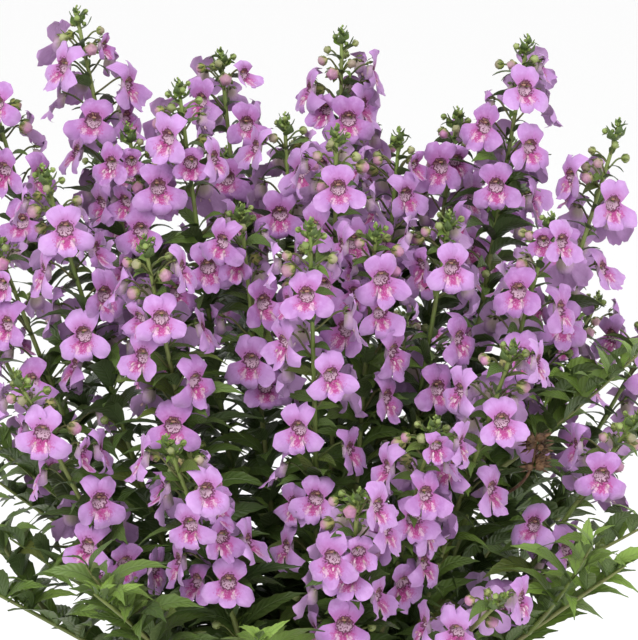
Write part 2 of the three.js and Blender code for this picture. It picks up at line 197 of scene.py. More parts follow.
def unit(a):
    return add((0, 0, 0), a, 1 / math.sqrt(dot(a, a)))


def level(azimuth):
    """The level direction of an azimuth from +X."""
    return (math.cos(math.radians(azimuth)), math.sin(math.radians(azimuth)), 0.0)


def lifted(way, lift):
    """A level direction, lifted."""
    flat = add((0, 0, 0), way, math.cos(math.radians(lift)))
    return add(flat, UP, math.sin(math.radians(lift)))


def draw(*keys):
    """A number from 0 to 1 that depends only on the seed and the keys, whole numbers.

    One of the keys says what the number is for: each use has its own.
    """
    number = SEED
    for key in keys:
        number = ((number ^ (key + 1)) * MIXERS[0]) % WORD
        number = ((number ^ (number >> 15)) * MIXERS[1]) % WORD
        number ^= number >> 13
    return number / WORD


def between(low, high, *keys):
    return low + (high - low) * draw(*keys)


class Stem:
    """A stem, whose middle line runs straight between stations, and what grows on it."""

    def __init__(self, number, x, y, z, raceme=0, blooms=0):
        self.id = number
        self.rise = z - SOIL_LEVEL
        self.raceme = raceme
        self.blooms = blooms
        self.reach = math.hypot(x, y)
        self.outward = turn_of(x, y)
        self.facing = turn_of(x * 0.7, y - FACE_LINE)
        self.turn = draw(number, 8)
        self.bud_zone = raceme * between(*BUD_ZONE, number, 12)
        flare = STEM_FLARE[0] + (STEM_FLARE[1] - STEM_FLARE[0]) * min(1, self.rise / TALL_RISE)
        middle = (self.rise - TIP_LENGTH) / 2
        self.stations = []
        for i, height in enumerate((-STEM_SUNK, STEM_UPRIGHT, middle, self.rise - TIP_LENGTH, self.rise)):
            share = max(0, (height - STEM_UPRIGHT) / (self.rise - STEM_UPRIGHT))
            out = FOOT_SHARE + (1 - FOOT_SHARE) * share * (flare - (flare - 1) * share)
            straight = (x * out, y * out, SOIL_LEVEL + height)
            sway = STEM_SWAY if height == middle else 0
            self.stations.append((height, add(straight, level(360 * draw(number, 9, i)), sway)))
        self.bloom_list, self.leaf_list, self.bud_list, self.more_list = [], [], [], []
        self.small_leaves, self.bracts, self.small_buds, self.opening_buds, self.capsules = [], [], [], [], []

    def point(self, height):
        upper = next(i for i, station in enumerate(self.stations) if station[0] >= height or i == 4)
        upper = max(1, upper)
        low, high = self.stations[upper - 1], self.stations[upper]
        return along(low[1], high[1], (height - low[0]) / (high[0] - low[0]))

    def radius(self, height):
        return STEM_RADIUS + (STEM_TOP_RADIUS - STEM_RADIUS) * max(0, height / self.rise)

    def node(self, height, azimuth):
        """Where a piece grows: a point on the stem's flat side, the stem's middle there, and the way out."""
        centre = self.point(height)
        flat = self.radius(height) * math.sqrt(0.5)
        return add(centre, level(90 * math.floor(azimuth / 90 + 0.5)), flat), centre, level(azimuth)


def inner_radius(z):
    return POT_FOOT_RADIUS - POT_WALL + (POT_RIM_RADIUS - RIM_PROUD - POT_FOOT_RADIUS) * z / POT_HEIGHT


taken = {}


def cell_of(ball):
    return tuple(math.floor(value / CELL) for value in ball[:3])


def take(balls, owner):
    """Notes the room of a placed piece, as balls (x, y, z, radius, 1 near a root)."""
    for ball in balls:
        taken.setdefault(cell_of(ball), []).append((ball, owner))


def is_over_pot(ball):
    x, y, z, radius, _ = ball
    reach = math.hypot(x, y)
    if z - radius > POT_HEIGHT + 1:
        return True
    if reach - radius > POT_RIM_RADIUS + 1:
        return z - radius > RIM_OUTSIDE
    return z - radius > SOIL_LEVEL + 1 and reach + radius < inner_radius(SOIL_LEVEL) - 1


def is_clear(ball, owner, room=ROOM):
    x, y, z, radius, root = ball
    i, j, k = cell_of(ball)
    for a in (i - 1, i, i + 1):
        for b in (j - 1, j, j + 1):
            for c in (k - 1, k, k + 1):
                for other, stem in taken.get((a, b, c), ()):
                    if stem == owner and (root or other[4]):
                        continue
                    reach = radius + other[3] + (0 if stem == owner else room)
                    if (x - other[0]) ** 2 + (y - other[1]) ** 2 + (z - other[2]) ** 2 < reach * reach:
                        return False
    return True


def swing_of(attempt):
    """Steps to both sides in turn: 0, 1, -1, 2, -2 and so on."""
    return (1 if attempt % 2 else -1) * math.ceil(attempt / 2)


def place(stem, pieces, try_piece, *numbers, tries=TRIES, room=ROOM):
    """The first clear try of a piece, which then takes its room."""
    for attempt in range(tries):
        piece = try_piece(stem, attempt, *numbers)
        if all(is_over_pot(ball) and is_clear(ball, stem.id, room) for ball in piece["balls"]):
            take(piece["balls"], stem.id)
            pieces.append(piece)
            return


def in_bloom(bloom, x, y, z):
    size = bloom["size"]
    at = add(add(bloom["calyx"], bloom["right"], x * size), bloom["up"], y * size)
    return add(at, bloom["forward"], z * size)


def on_bloom(bloom, angle, reach, forward):
    x, y, _ = level(angle)
    return in_bloom(bloom, x * reach, BLOOM_DROP + y * reach, forward)


def grow_bloom(stem, height, azimuth, lift, length, forward, roll, **look):
    """A bloom on its stalk, without the room that it takes."""
    at, _, out = stem.node(height, azimuth)
    way = lifted(out, lift)
    side = unit(cross(UP, forward))
    right = add(add((0, 0, 0), side, math.cos(roll)), cross(forward, side), math.sin(roll))
    return {
        "at": at, "way": way, "length": length, "calyx": add(at, way, length), "height": height,
        "azimuth": azimuth, "right": right, "up": cross(forward, right), "forward": forward, **look,
    }


def try_bloom(stem, attempt, index):
    last = stem.blooms - 1

    def vary(low, high, kind):
        return between(low, high, stem.id, kind, index)

    spread = 2 * ((index * GOLDEN + stem.turn) % 1) - 1
    azimuth = stem.facing + FACE_SPREAD * spread + BLOOM_SWING * swing_of(attempt)
    height = stem.rise - stem.raceme + (stem.raceme - stem.bud_zone) * index / last
    size = vary(*BLOOM_SIZE, 1) * (LAST_BLOOM if index == last else 1)
    length = (STALK_LENGTH + STALK_LONGER * (attempt % 3)) * vary(*STALK_VARIES, 3)
    forward = lifted(level(azimuth + vary(*BLOOM_TURN, 4)), vary(*BLOOM_NOD, 5))
    roll = math.radians(vary(*BLOOM_ROLL, 6))
    bloom = grow_bloom(
        stem, height, azimuth, STALK_LIFT + vary(-8, 8, 2), length, forward, roll,
        size=size, index=index, open=vary(*BLOOM_OPEN, 30), spread=1.0, narrow=1.0)
    bloom["balls"] = [(*on_bloom(bloom, *lobe), LOBE_ROOM * size, 0) for lobe in BLOOM_LOBES]
    bloom["balls"].append((*in_bloom(bloom, 0, -3, 2.6), POUCH_ROOM * size, 0))
    bloom["balls"] += [(*add(bloom["at"], bloom["way"], length * share), 0.9, 1) for share in (0.5, 0.8)]
    return bloom


def on_rib(leaf, share):
    if share < LEAF_BEND:
        return along(leaf["foot"], leaf["bend"], share / LEAF_BEND)
    return along(leaf["bend"], leaf["tip"], (share - LEAF_BEND) / (1 - LEAF_BEND))


def grow_leaf(stem, height, turn, length, lifts, roll, width, room):
    """A leaf that bends down once, with its foot sunk into the stem, and the room that it takes."""
    at, centre, out = stem.node(height, turn)
    foot = along(at, centre, LEAF_SUNK)
    bend = add(foot, lifted(out, lifts[0]), length * LEAF_BEND)
    tip = add(bend, lifted(out, lifts[1]), length * (1 - LEAF_BEND))
    side = lifted(level(turn + 90), roll)
    leaf = {"foot": foot, "bend": bend, "tip": tip, "side": side, "width": width, "height": height}
    leaf["balls"] = [(*on_rib(leaf, share), radius, int(share == room[0][0])) for share, radius in room]
    return leaf


def try_leaf(stem, attempt, height, azimuth, scale):
    turn = azimuth + LEAF_SWING * swing_of(attempt)
    rise = LEAF_RISE + between(-9, 9, stem.id, 7, math.floor(height))
    roll = LEAF_TURN * math.sin(math.radians(turn - stem.outward))
    room = [(share, radius * scale) for share, radius in LEAF_ROOM]
    lifts = [rise - droop for droop in LEAF_DROOP]
    return grow_leaf(stem, height, turn, LEAF_LENGTH * scale, lifts, roll, LEAF_HALF_WIDTH * scale, room)


def grow_bud(stem, height, azimuth, size, stalk, lift, nod):
    """A nodding bud on its stalk, without the room that it takes."""
    at, _, out = stem.node(height, azimuth)
    way = lifted(out, lift)
    return {"at": at, "way": way, "neck": add(at, way, stalk), "nod": lifted(out, nod), "size": size}


def try_bud(stem, attempt):
    azimuth = stem.facing + BUD_TURN + BUD_SWING * swing_of(attempt)
    height = stem.rise - stem.bud_zone * BUD_SHARE
    bud = grow_bud(stem, height, azimuth, 1.0, BUD_STALK, STALK_LIFT, -BUD_NOD)
    centre = add(bud["neck"], bud["nod"], BUD_LENGTH / 2)
    bud["balls"] = [(*centre, BUD_RADIUS + 0.4, 0), (*add(bud["at"], bud["way"], 6), 0.8, 1)]
    return bud


def leaf_rows(stem):
    pairs = 3
    if stem.blooms:
        pairs = 2 if stem.reach > OUTER_REACH else 1 if stem.reach > INNER_REACH else 0
    top = stem.rise - (stem.raceme + 4 if stem.blooms else 14)
    low = min(top, max(LEAF_LOWEST, top - LEAF_ZONE if stem.blooms else 0))
    rows = []
    for pair in range(pairs):
        height = top + (low - top) * (pair / max(1, pairs - 1))
        young = 1 if stem.blooms else min(1, SHOOT_LEAF[0] + SHOOT_LEAF[1] * pair)
        scale = between(*LEAF_SCALE, stem.id, 11, pair) * young
        azimuth = stem.outward + between(*LEAF_PAIR_SPREAD, stem.id, 10, pair) + (80 if pair % 2 else -10)
        rows.append((height, azimuth, scale))
        rows.append((height, azimuth + (200 if pair % 2 else 180), scale))
    return rows


stems = [Stem(number, *row) for number, row in enumerate(FLOWERING + LEAFY)]

for stem in stems:
    for height in range(-STEM_SUNK, stem.rise + 1, 5):
        radius = TIP_RADIUS if height > stem.rise - TIP_LENGTH else stem.radius(height)
        take([(*stem.point(height), radius + 0.5, 0)], stem.id)

for stem in stems:
    for index in range(stem.blooms):
        place(stem, stem.bloom_list, try_bloom, index)

for stem in stems:
    for row in leaf_rows(stem):
        place(stem, stem.leaf_list, try_leaf, *row)
    if stem.blooms:
        place(stem, stem.bud_list, try_bud)


# What only the looks have: small leaves, tufts, bracts, more buds, opening buds and seed capsules

GOLDEN_TURN = 137.5
SMALL_LEAF_STEP = 7.5
SMALL_LEAF_LENGTH = (26, 42)
SMALL_LEAF_WIDTH = (0.13, 0.175)
SMALL_LEAF_DROOP = (24, 66)
# The room along a small leaf, for one of this length
SMALL_LEAF_ROOM = ((0.25, 1.2), (0.5, 1.8), (0.75, 1.3), (0.97, 0.6))
SMALL_LEAF_ROOM_LENGTH = 24
SMALL_LEAF_TURN = 42
SMALL_LEAF_SWING = 12
SMALL_LEAF_TRIES = 11
# How far right a stem's tip has to be for its leaves to be bright
BRIGHT_FROM = 40
LOWEST_SMALL_LEAF = 12.0
# How far up a raceme there are leaves, as a share of it
LEAVES_UP_RACEME = 0.3
TUFT_SHARE = 0.22
TUFT_LEAVES = 4
TIP_LEAVES = 8
TUFT_LEAF_LENGTH = (9, 15)
# Leaves brighten from this share of the height on, by so much per whole height
RACEME_BRIGHTENS = (0.55, 1.1)
SHOOT_BRIGHTENS = (0.45, 1.8)
BUD_STEP = 3.9
SMALL_BUD_SWING = 15
BUD_ROOM = 0.1
# An opening bud's size, and its stalk's length and how far it nods
OPENING_BUD = 1.5
OPENING_BUD_STALK = (10.5, -14)
# The blooms that only the looks have are numbered from here on their stem, the half-open ones first
MORE_BLOOMS_FROM = 40
MORE_BLOOM_TRIES = 12
HALF_OPEN = 3
LOBE_TIP_ROOM = 1.6
MORE_BLOOM_ROOM = 5.8
MORE_BLOOM_SWING = 24
MORE_STALK_LENGTH = (9.5, 11.5)
# Size, spread and opening of the half-open blooms, each next one larger by a step, and of the open ones
HALF_OPEN_SIZE = 0.76
HALF_OPEN_STEP = 0.08
HALF_OPEN_LOOK = (0.76, 1.35)
OPEN_LOOK = (0.96, 1.0, 1.0)
# How many more open blooms may be on a low front raceme, on a tall one and on another front one
LOW_FRONT = (-80, 320)
TALL_FROM = 380
FRONT = -30
MORE_OPEN = (6, 5, 3)
CAPSULES = 3
LOWEST_CAPSULE = 40
NO_CAPSULE_SHARE = 0.3
CAPSULE_STEP = 10
CAPSULE_SIZE = 0.86
CAPSULE_STALK = 12
# Side twigs as (stem, height of its foot, tip), numbered as stems from here on
TWIGS_FROM = 60
TWIGS = (
    (36, 50, (-160, -40, 238)), (26, 84, (-158, -24, 262)), (34, 70, (-164, 16, 240)),
    (14, 50, (-142, -56, 216)), (21, 66, (152, -70, 226)), (18, 112, (148, -20, 296)),
    (35, 78, (160, 10, 262)), (11, 130, (150, 20, 290)), (39, 50, (122, -112, 222)),
    (37, 52, (-104, -118, 214)),
)
TWIG_RADII = (1.25, 0.5)
TWIG_LEAF_LENGTH = (24, 40)
# How bright the tips of twigs are on the left and on the right
TWIG_YOUNG = (0.1, 0.7)


def try_small_leaf(stem, attempt, height, azimuth, length, rise, key, young=0.0):
    """A leaf that arches over, so that its outer half shows its face."""

    def vary(low, high, kind):
        return between(low, high, stem.id, kind, math.floor(height), key)

    turn = azimuth + SMALL_LEAF_SWING * swing_of(attempt)
    lift = rise + vary(-12, 12, 21)
    lifts = (lift, lift - vary(*SMALL_LEAF_DROOP, 22))
    roll = SMALL_LEAF_TURN * math.sin(math.radians(turn - stem.outward)) + vary(-18, 18, 23)
    room = [(share, radius * length / SMALL_LEAF_ROOM_LENGTH) for share, radius in SMALL_LEAF_ROOM]
    leaf = grow_leaf(stem, height, turn, length, lifts, roll, length * vary(*SMALL_LEAF_WIDTH, 28), room)
    leaf["young"] = young
    return leaf


def place_leaf(stem, tries, *numbers):
    place(stem, stem.small_leaves, try_small_leaf, *numbers, tries=tries, room=0)


def try_small_bud(stem, attempt, height, azimuth, size, stalk, nod):
    lift = STALK_LIFT + 14 * (1 - min(1, size))
    bud = grow_bud(stem, height, azimuth + SMALL_BUD_SWING * swing_of(attempt), size, stalk, lift, nod)
    bud["balls"] = [(*add(bud["neck"], bud["nod"], size * BUD_LENGTH / 2), size * BUD_RADIUS + 0.1, 0)]
    return bud


def try_more_bloom(stem, attempt, height, number, size, spread, opening):
    """A bloom among those of the solid: only half open near the buds, open lower down."""

    def vary(low, high, kind):
        return between(low, high, stem.id, kind, number)

    azimuth = stem.facing + GOLDEN_TURN * number + 200 * stem.turn + MORE_BLOOM_SWING * swing_of(attempt)
    lift = STALK_LIFT + vary(-4, 12, 72)
    length = vary(*MORE_STALK_LENGTH, 73) * size / 0.8
    forward = lifted(level(azimuth), vary(-16, 4, 74))
    bloom = grow_bloom(
        stem, height, azimuth, lift, length, forward, 0.0,
        size=size * vary(0.94, 1.04, 75), index=MORE_BLOOMS_FROM + number, open=opening * vary(0.8, 1.2, 76),
        spread=spread * vary(0.9, 1.06, 77), narrow=0.5 + spread / 2)
    bloom["balls"] = [(*in_bloom(bloom, 0, -3, 5), MORE_BLOOM_ROOM * size, 0)]
    if spread == 1:
        bloom["balls"] += [(*on_bloom(bloom, *lobe), LOBE_TIP_ROOM, 0) for lobe in BLOOM_LOBES]
    return bloom


def more_blooms(stem):
    """Half-open blooms under the buds, then open ones lower down a tall or low front raceme."""
    for number in range(HALF_OPEN):
        height = stem.rise - stem.bud_zone * between(0.8, 0.95, stem.id, 71, number) - 10 * number
        look = (HALF_OPEN_SIZE + HALF_OPEN_STEP * number, *HALF_OPEN_LOOK)
        place(stem, stem.more_list, try_more_bloom, height, number, *look, tries=MORE_BLOOM_TRIES, room=0)
    _, y, z = stem.stations[-1][1]
    kinds = (y < LOW_FRONT[0] and z < LOW_FRONT[1], z > TALL_FROM, y < FRONT)
    for i in range(next((count for count, fits in zip(MORE_OPEN, kinds) if fits), 0)):
        height = stem.rise - stem.raceme * between(0.35, 1.05, stem.id, 78, i)
        place(stem, stem.more_list, try_more_bloom, height, HALF_OPEN + i, *OPEN_LOOK, room=0)


def bud_shoot(stem):
    """Round buds over the blooms, smaller towards the tip, each over a bract, and two opening buds below."""
    zone = stem.bud_zone - 5
    count = math.ceil(zone / BUD_STEP)
    for i in range(count):
        share = (i + 0.5) / count
        height = stem.rise - 3 - zone * (1 - share)
        azimuth = stem.facing + GOLDEN_TURN * (i + 3 * stem.id)
        look = (1.02 - 0.55 * share, BUD_STALK * (1 - 0.72 * share), 40 * share - 8)
        place(stem, stem.small_buds, try_small_bud, height, azimuth, *look, tries=7, room=BUD_ROOM)
        stem.bracts.append((height - 0.6, azimuth, 11.5 - 5 * share, 26 + 20 * share, 0.35 + 0.5 * share))
    for i in range(2):
        height = stem.rise - stem.bud_zone - 1 - 9 * i
        azimuth = stem.facing + GOLDEN_TURN * (2 * i + stem.id) + 60
        size = OPENING_BUD * between(0.84, 1.0, stem.id, 29, i)
        place(stem, stem.opening_buds, try_small_bud, height, azimuth, size, *OPENING_BUD_STALK,
              tries=9, room=BUD_ROOM)


class Twig(Stem):
    """A leafy side twig of a stem."""

    def __init__(self, number, parent, height, tip):
        self.id = number
        self.parent = parent
        foot = parent.point(height)
        self.rise = math.dist(foot, tip)
        self.outward = turn_of(tip[0], tip[1])
        rising = add(foot, add(tip, foot, -1), 0.45)
        bow = add(rising, level(self.outward), 4)
        places = (foot, along(foot, bow, 0.5), bow, along(bow, tip, 0.55), tip)
        self.stations = [(self.rise * share, at) for share, at in zip((0, 0.22, 0.45, 0.75, 1), places)]
        self.small_leaves = []

    def radius(self, height):
        return TWIG_RADII[0] - 0.6 * height / self.rise


def dress_twig(twig):
    """Pairs of leaves crosswise up a twig, smaller and brighter at its tip."""
    bright = TWIG_YOUNG[twig.parent.stations[-1][1][0] > 0]
    for row, height in enumerate(np.arange(10.0, twig.rise + 1, SMALL_LEAF_STEP).tolist()):
        high = height / twig.rise
        azimuth = twig.outward + 45 + 90 * (row % 2) + between(*LEAF_PAIR_SPREAD, twig.id, 26, row)
        young = bright * high + 0.35 * draw(twig.id, 48, row)
        for half in (0, 180):
            length = between(*TWIG_LEAF_LENGTH, twig.id, 27, row, half) * (1 - 0.5 * high ** 3)
            place_leaf(twig, SMALL_LEAF_TRIES, height, azimuth + half, length, 40 + 14 * high, half, young)


def dress_raceme(stem):
    """The bracts, buds, further blooms and seed capsules of a raceme."""
    for bloom in stem.bloom_list:
        height, azimuth, index = bloom["height"], bloom["azimuth"], bloom["index"]
        stem.bracts.append((height - 1, azimuth, between(9.5, 14.5, stem.id, 24, index), 20, 0.2))
        for half in (115, 245):
            length = between(9, 17, stem.id, 24, index, half)
            stem.bracts.append((height + 3, azimuth + half, length, 26, 0.15))
    bud_shoot(stem)
    more_blooms(stem)
    for i in range(CAPSULES):
        height = stem.rise - stem.raceme - 6 - CAPSULE_STEP * i
        if height < LOWEST_CAPSULE or draw(stem.id, 25, i) < NO_CAPSULE_SHARE:
            continue
        azimuth = stem.facing + GOLDEN_TURN * i + 40
        place(stem, stem.capsules, try_small_bud, height, azimuth, CAPSULE_SIZE, CAPSULE_STALK, 5,
              tries=6, room=BUD_ROOM)
        stem.bracts.append((height - 1, azimuth, 14, 24, 0.1))


def dress_leaves(stem):
    """Rows of small leaves crosswise up a stem, with a tuft here and there, and a shoot's leafy tip."""
    top = stem.rise - stem.raceme + LEAVES_UP_RACEME * stem.raceme if stem.blooms else stem.rise - 6
    bright = stem.stations[-1][1][0] > BRIGHT_FROM
    brightens, rate = RACEME_BRIGHTENS if stem.blooms else SHOOT_BRIGHTENS
    for row, height in enumerate(np.arange(LOWEST_SMALL_LEAF, top, SMALL_LEAF_STEP).tolist()):
        azimuth = stem.outward + 90 * (row % 2) + between(*LEAF_PAIR_SPREAD, stem.id, 26, row) + 45
        high = height / stem.rise
        young = max(0.0, (high - brightens) * rate)
        if not stem.blooms and not bright:
            young *= 0.5
        young += max(0.0, draw(stem.id, 48, row) - 0.55) * (1.0 if bright else 0.5)
        for half in ((0, 180) if stem.blooms else (0, 90, 180, 270)):
            length = between(*SMALL_LEAF_LENGTH, stem.id, 27, row, half) * (1 - 0.22 * high)
            place_leaf(stem, SMALL_LEAF_TRIES, height, azimuth + half, length, 42, half, young + 0.1)
        if draw(stem.id, 36, row) < TUFT_SHARE:
            for i in range(TUFT_LEAVES):
                length = between(*TUFT_LEAF_LENGTH, stem.id, 37, row, i)
                place_leaf(stem, 3, height + 1.5, azimuth + 90 * i + 40, length, 62, i, 0.75)
    if not stem.blooms:
        for i in range(TIP_LEAVES):
            place_leaf(stem, 4, stem.rise - 6 + 0.7 * i, GOLDEN_TURN * i, 19 - 1.7 * i, 50 + 3 * i, i, 0.95)


for stem in stems:
    if stem.blooms:
        dress_raceme(stem)
    dress_leaves(stem)

twigs = [Twig(TWIGS_FROM + i, stems[parent], height, tip) for i, (parent, height, tip) in enumerate(TWIGS)]
for twig in twigs:
    dress_twig(twig)


# Forms

LEAF_SLOT, STEM_SLOT, BUD_SLOT, DRY_SLOT = 0, 1, 2, 3
STEM_SIDES = 8
FINE_COLUMNS = (-1, -0.52, 0, 0.52, 1)
PLAIN_COLUMNS = (-1, 0, 1)
BRACT_WIDTH = 0.19
SEPALS = 5
BUD_STALK_RADIUS = 0.36
BLOOM_STALK_RADIUS = 0.5
TIP_BUDS = 9
STEM_SLIM = 0.82
SHOOT_SLIM = 0.7
# The sizes of an open bloom and of the soil on their unwrapped maps, and the gap between forms there
BLOOM_ON_MAP = (44, 24)
SOIL_ON_MAP = (300, 180)
MAP_GAP = 0.8
# The one spent side spike: the number of its stem, the height of its foot, its tip and its capsules
DRIED_ON = 18
DRIED_FROM = 104
DRIED_TIP = (98, -84, 266)
DRIED_COUNT = 14


def arrays(piece, *names):
    return [np.asarray(piece[name], float) for name in names]


def units(rows):
    """Rows of vectors, each made one long."""
    return rows / np.linalg.norm(rows, axis=1)[:, None]


def grid_triangles(rows, columns, closed):
    """Triangles of a grid of points, row after row, whose faces look to row direction x column direction."""
    spans = columns if closed else columns - 1
    row, column = np.meshgrid(np.arange(rows - 1), np.arange(spans), indexing="ij")
    after = (column + 1) % columns
    a = row * columns + column
    b = (row + 1) * columns + column
    c = (row + 1) * columns + after
    d = row * columns + after
    return np.concatenate([
        np.stack([a, b, c], -1).reshape(-1, 3),
        np.stack([a, c, d], -1).reshape(-1, 3),
    ])


def bezier(points, count):
    """Points at even steps of a Bezier curve."""
    share = np.linspace(0, 1, count)[:, None]
    rows = [np.broadcast_to(np.asarray(p, float), (count, 3)) for p in points]
    while len(rows) > 1:
        rows = [a + (b - a) * share for a, b in zip(rows, rows[1:])]
    return rows[0]


class Form:
    """Points in millimetres and triangles of one material, with each point's map places, back and young."""

    def __init__(self, points, triangles, uv, chart, size, material=0, back=0.0, young=0.0):
        self.points = np.asarray(points, float)
        self.triangles = np.asarray(triangles)
        self.uv = np.asarray(uv, float)
        self.chart = np.asarray(chart, float)
        self.size = size
        self.material = material
        self.back = np.broadcast_to(back, len(self.points))
        self.young = np.broadcast_to(young, len(self.points))


def tube(line, radii, sides, material, young=0.0, ribs=0.0):
    """A tube along a line, round or with five ribs."""
    line = np.asarray(line, float)
    radii = np.asarray(radii, float)
    tangents = units(np.gradient(line, axis=0))
    across = np.cross(tangents[0], (0.3, 0.7, 0.2))
    rings = []
    for point, tangent, radius in zip(line, tangents, radii):
        across = across - tangent * across.dot(tangent)
        across /= np.linalg.norm(across)
        over = np.cross(tangent, across)
        angles = np.linspace(0, 2 * math.pi, sides + 1)
        reach = (radius * (1 + ribs * np.cos(5 * angles)))[:, None]
        rings.append(point + reach * (np.cos(angles)[:, None] * across + np.sin(angles)[:, None] * over))
    rows = len(line)
    triangles = grid_triangles(rows, sides + 1, False)[:, [0, 2, 1]]
    steps = np.concatenate([[0], np.cumsum(np.linalg.norm(np.diff(line, axis=0), axis=1))])
    uv = np.stack([np.tile(np.linspace(0, 1, sides + 1), rows), np.repeat(steps / steps[-1], sides + 1)], -1)
    size = (2 * math.pi * radii.max(), max(steps[-1], 1.0))
    return Form(np.concatenate(rings), triangles, uv, uv, size, material, young=young)


def blade(leaf, teeth, columns, young=0.0, thick=0.3, curl=0.0):
    """A leaf or bract along a bent rib: two faces that meet at its edge, toothed unless teeth is 0."""
    foot, bend, tip, side = arrays(leaf, "foot", "bend", "tip", "side")
    width = leaf["width"]
    rows = 2 * teeth + 3 if teeth else 8
    rib = bezier([foot, 2 * bend - (foot + tip) / 2, tip], rows)
    share = np.linspace(0, 1, rows)
    half = np.sin(math.pi * share ** 0.74) ** 0.9
    half = np.maximum(half, 0.16 * (1 - share) ** 2 + 0.02)
    notch = (np.arange(rows) % 2 == 1) & (np.arange(rows) > 2) if teeth else np.zeros(rows, bool)
    half = width * half * np.where(notch, 0.93, 1.03)
    step = units(np.gradient(rib, axis=0))
    over = units(np.cross(step, side))
    turn = (curl * share)[:, None]
    across = np.cos(turn) * side + np.sin(turn) * over
    over = units(np.cross(step, across))
    length = float(np.linalg.norm(bend - foot) + np.linalg.norm(tip - bend))
    lean = np.where(notch, -0.2, 0.25) * length / rows if teeth else np.zeros(rows)
    wave = 0.1 * width * np.sin(9 * share + 40 * curl)
    sheets = []
    for height in (thick / 2, -thick / 2):
        for c in columns:
            flat = abs(c)
            rise = LEAF_FOLD * flat ** 1.3 * half + wave * flat ** 2 + height * (1 - flat)
            edge = rib + across * (c * half)[:, None] + over * rise[:, None]
            sheets.append(edge + step * (lean * (flat == 1))[:, None])
    points = np.stack(sheets).reshape(2, len(columns), rows, 3).transpose(0, 2, 1, 3).reshape(-1, 3)
    count = rows * len(columns)
    top = grid_triangles(rows, len(columns), False)
    uv = np.stack([np.tile((np.asarray(columns) + 1) / 2, rows), np.repeat(share, len(columns))], -1)
    chart = np.concatenate([uv * (0.48, 1), uv * (0.48, 1) + (0.52, 0)])
    return Form(points, np.concatenate([top, top[:, [0, 2, 1]] + count]), np.concatenate([uv, uv]), chart,
                (4 * width, length), LEAF_SLOT, np.repeat([0.0, 1.0], count), young)


# The same bloom drawn finer: each lobe by itself, wider than its foot and lying over its neighbours
LOBE_TIPS = BLOOM_EDGE[0::2]
PARTINGS = BLOOM_EDGE[1::2]
LOBE_REACHES = (1.04, 0.93, 0.93, 1.04, 1.0)
LOBE_HALF_WIDTHS = (5.1, 4.9, 4.9, 5.1, 4.3)
LOBE_LEANS = (-4, 8, -8, 4, 0)
LOBE_WAISTS = (0.56, 0.78, 0.78, 0.56, 0.62)
LOBE_NOTCHES = (0.06, 0.02, 0.02, 0.06, 0.18)
LOBE_LAYERS = (0.35, 0.0, 0.1, 0.3, 0.65)
LOBE_OUT = (0, 0.18, 0.4, 0.64, 0.86, 1.0)
CAP_FROM = 0.44
CAP_ROUND = 0.5
LOBE_COLUMNS = 7
BLOOM_SPAN = 32.0
BOWL_RINGS = (0.42, 0.78, 1.0)
PETAL_THICK = 0.35
BOWL_FLOOR = 0.7
PETAL_SLOT, TOOTH_SLOT = 0, 1


def throat_at(around):
    """The radius of the throat's mouth and how far forward its rim is, at angles round it."""
    low = np.maximum(0, -np.sin(around))
    level_share = np.cos(around) ** 2
    return 3.1 + 0.9 * level_share + 1.7 * low ** 1.5, 3.5 + 0.4 * level_share + 1.3 * low


def lobe_angles(lobe):
    """The angles round the throat at which a lobe's columns start."""
    tip, after = LOBE_TIPS[lobe][0], PARTINGS[lobe][0]
    before = PARTINGS[lobe - 1][0] - (360 if lobe == 0 else 0)
    across = np.sin(np.linspace(-math.pi / 2, math.pi / 2, LOBE_COLUMNS))
    around = np.radians(before + (after - before) * (across + 1) / 2)
    return across, around, math.radians(tip + LOBE_LEANS[lobe])


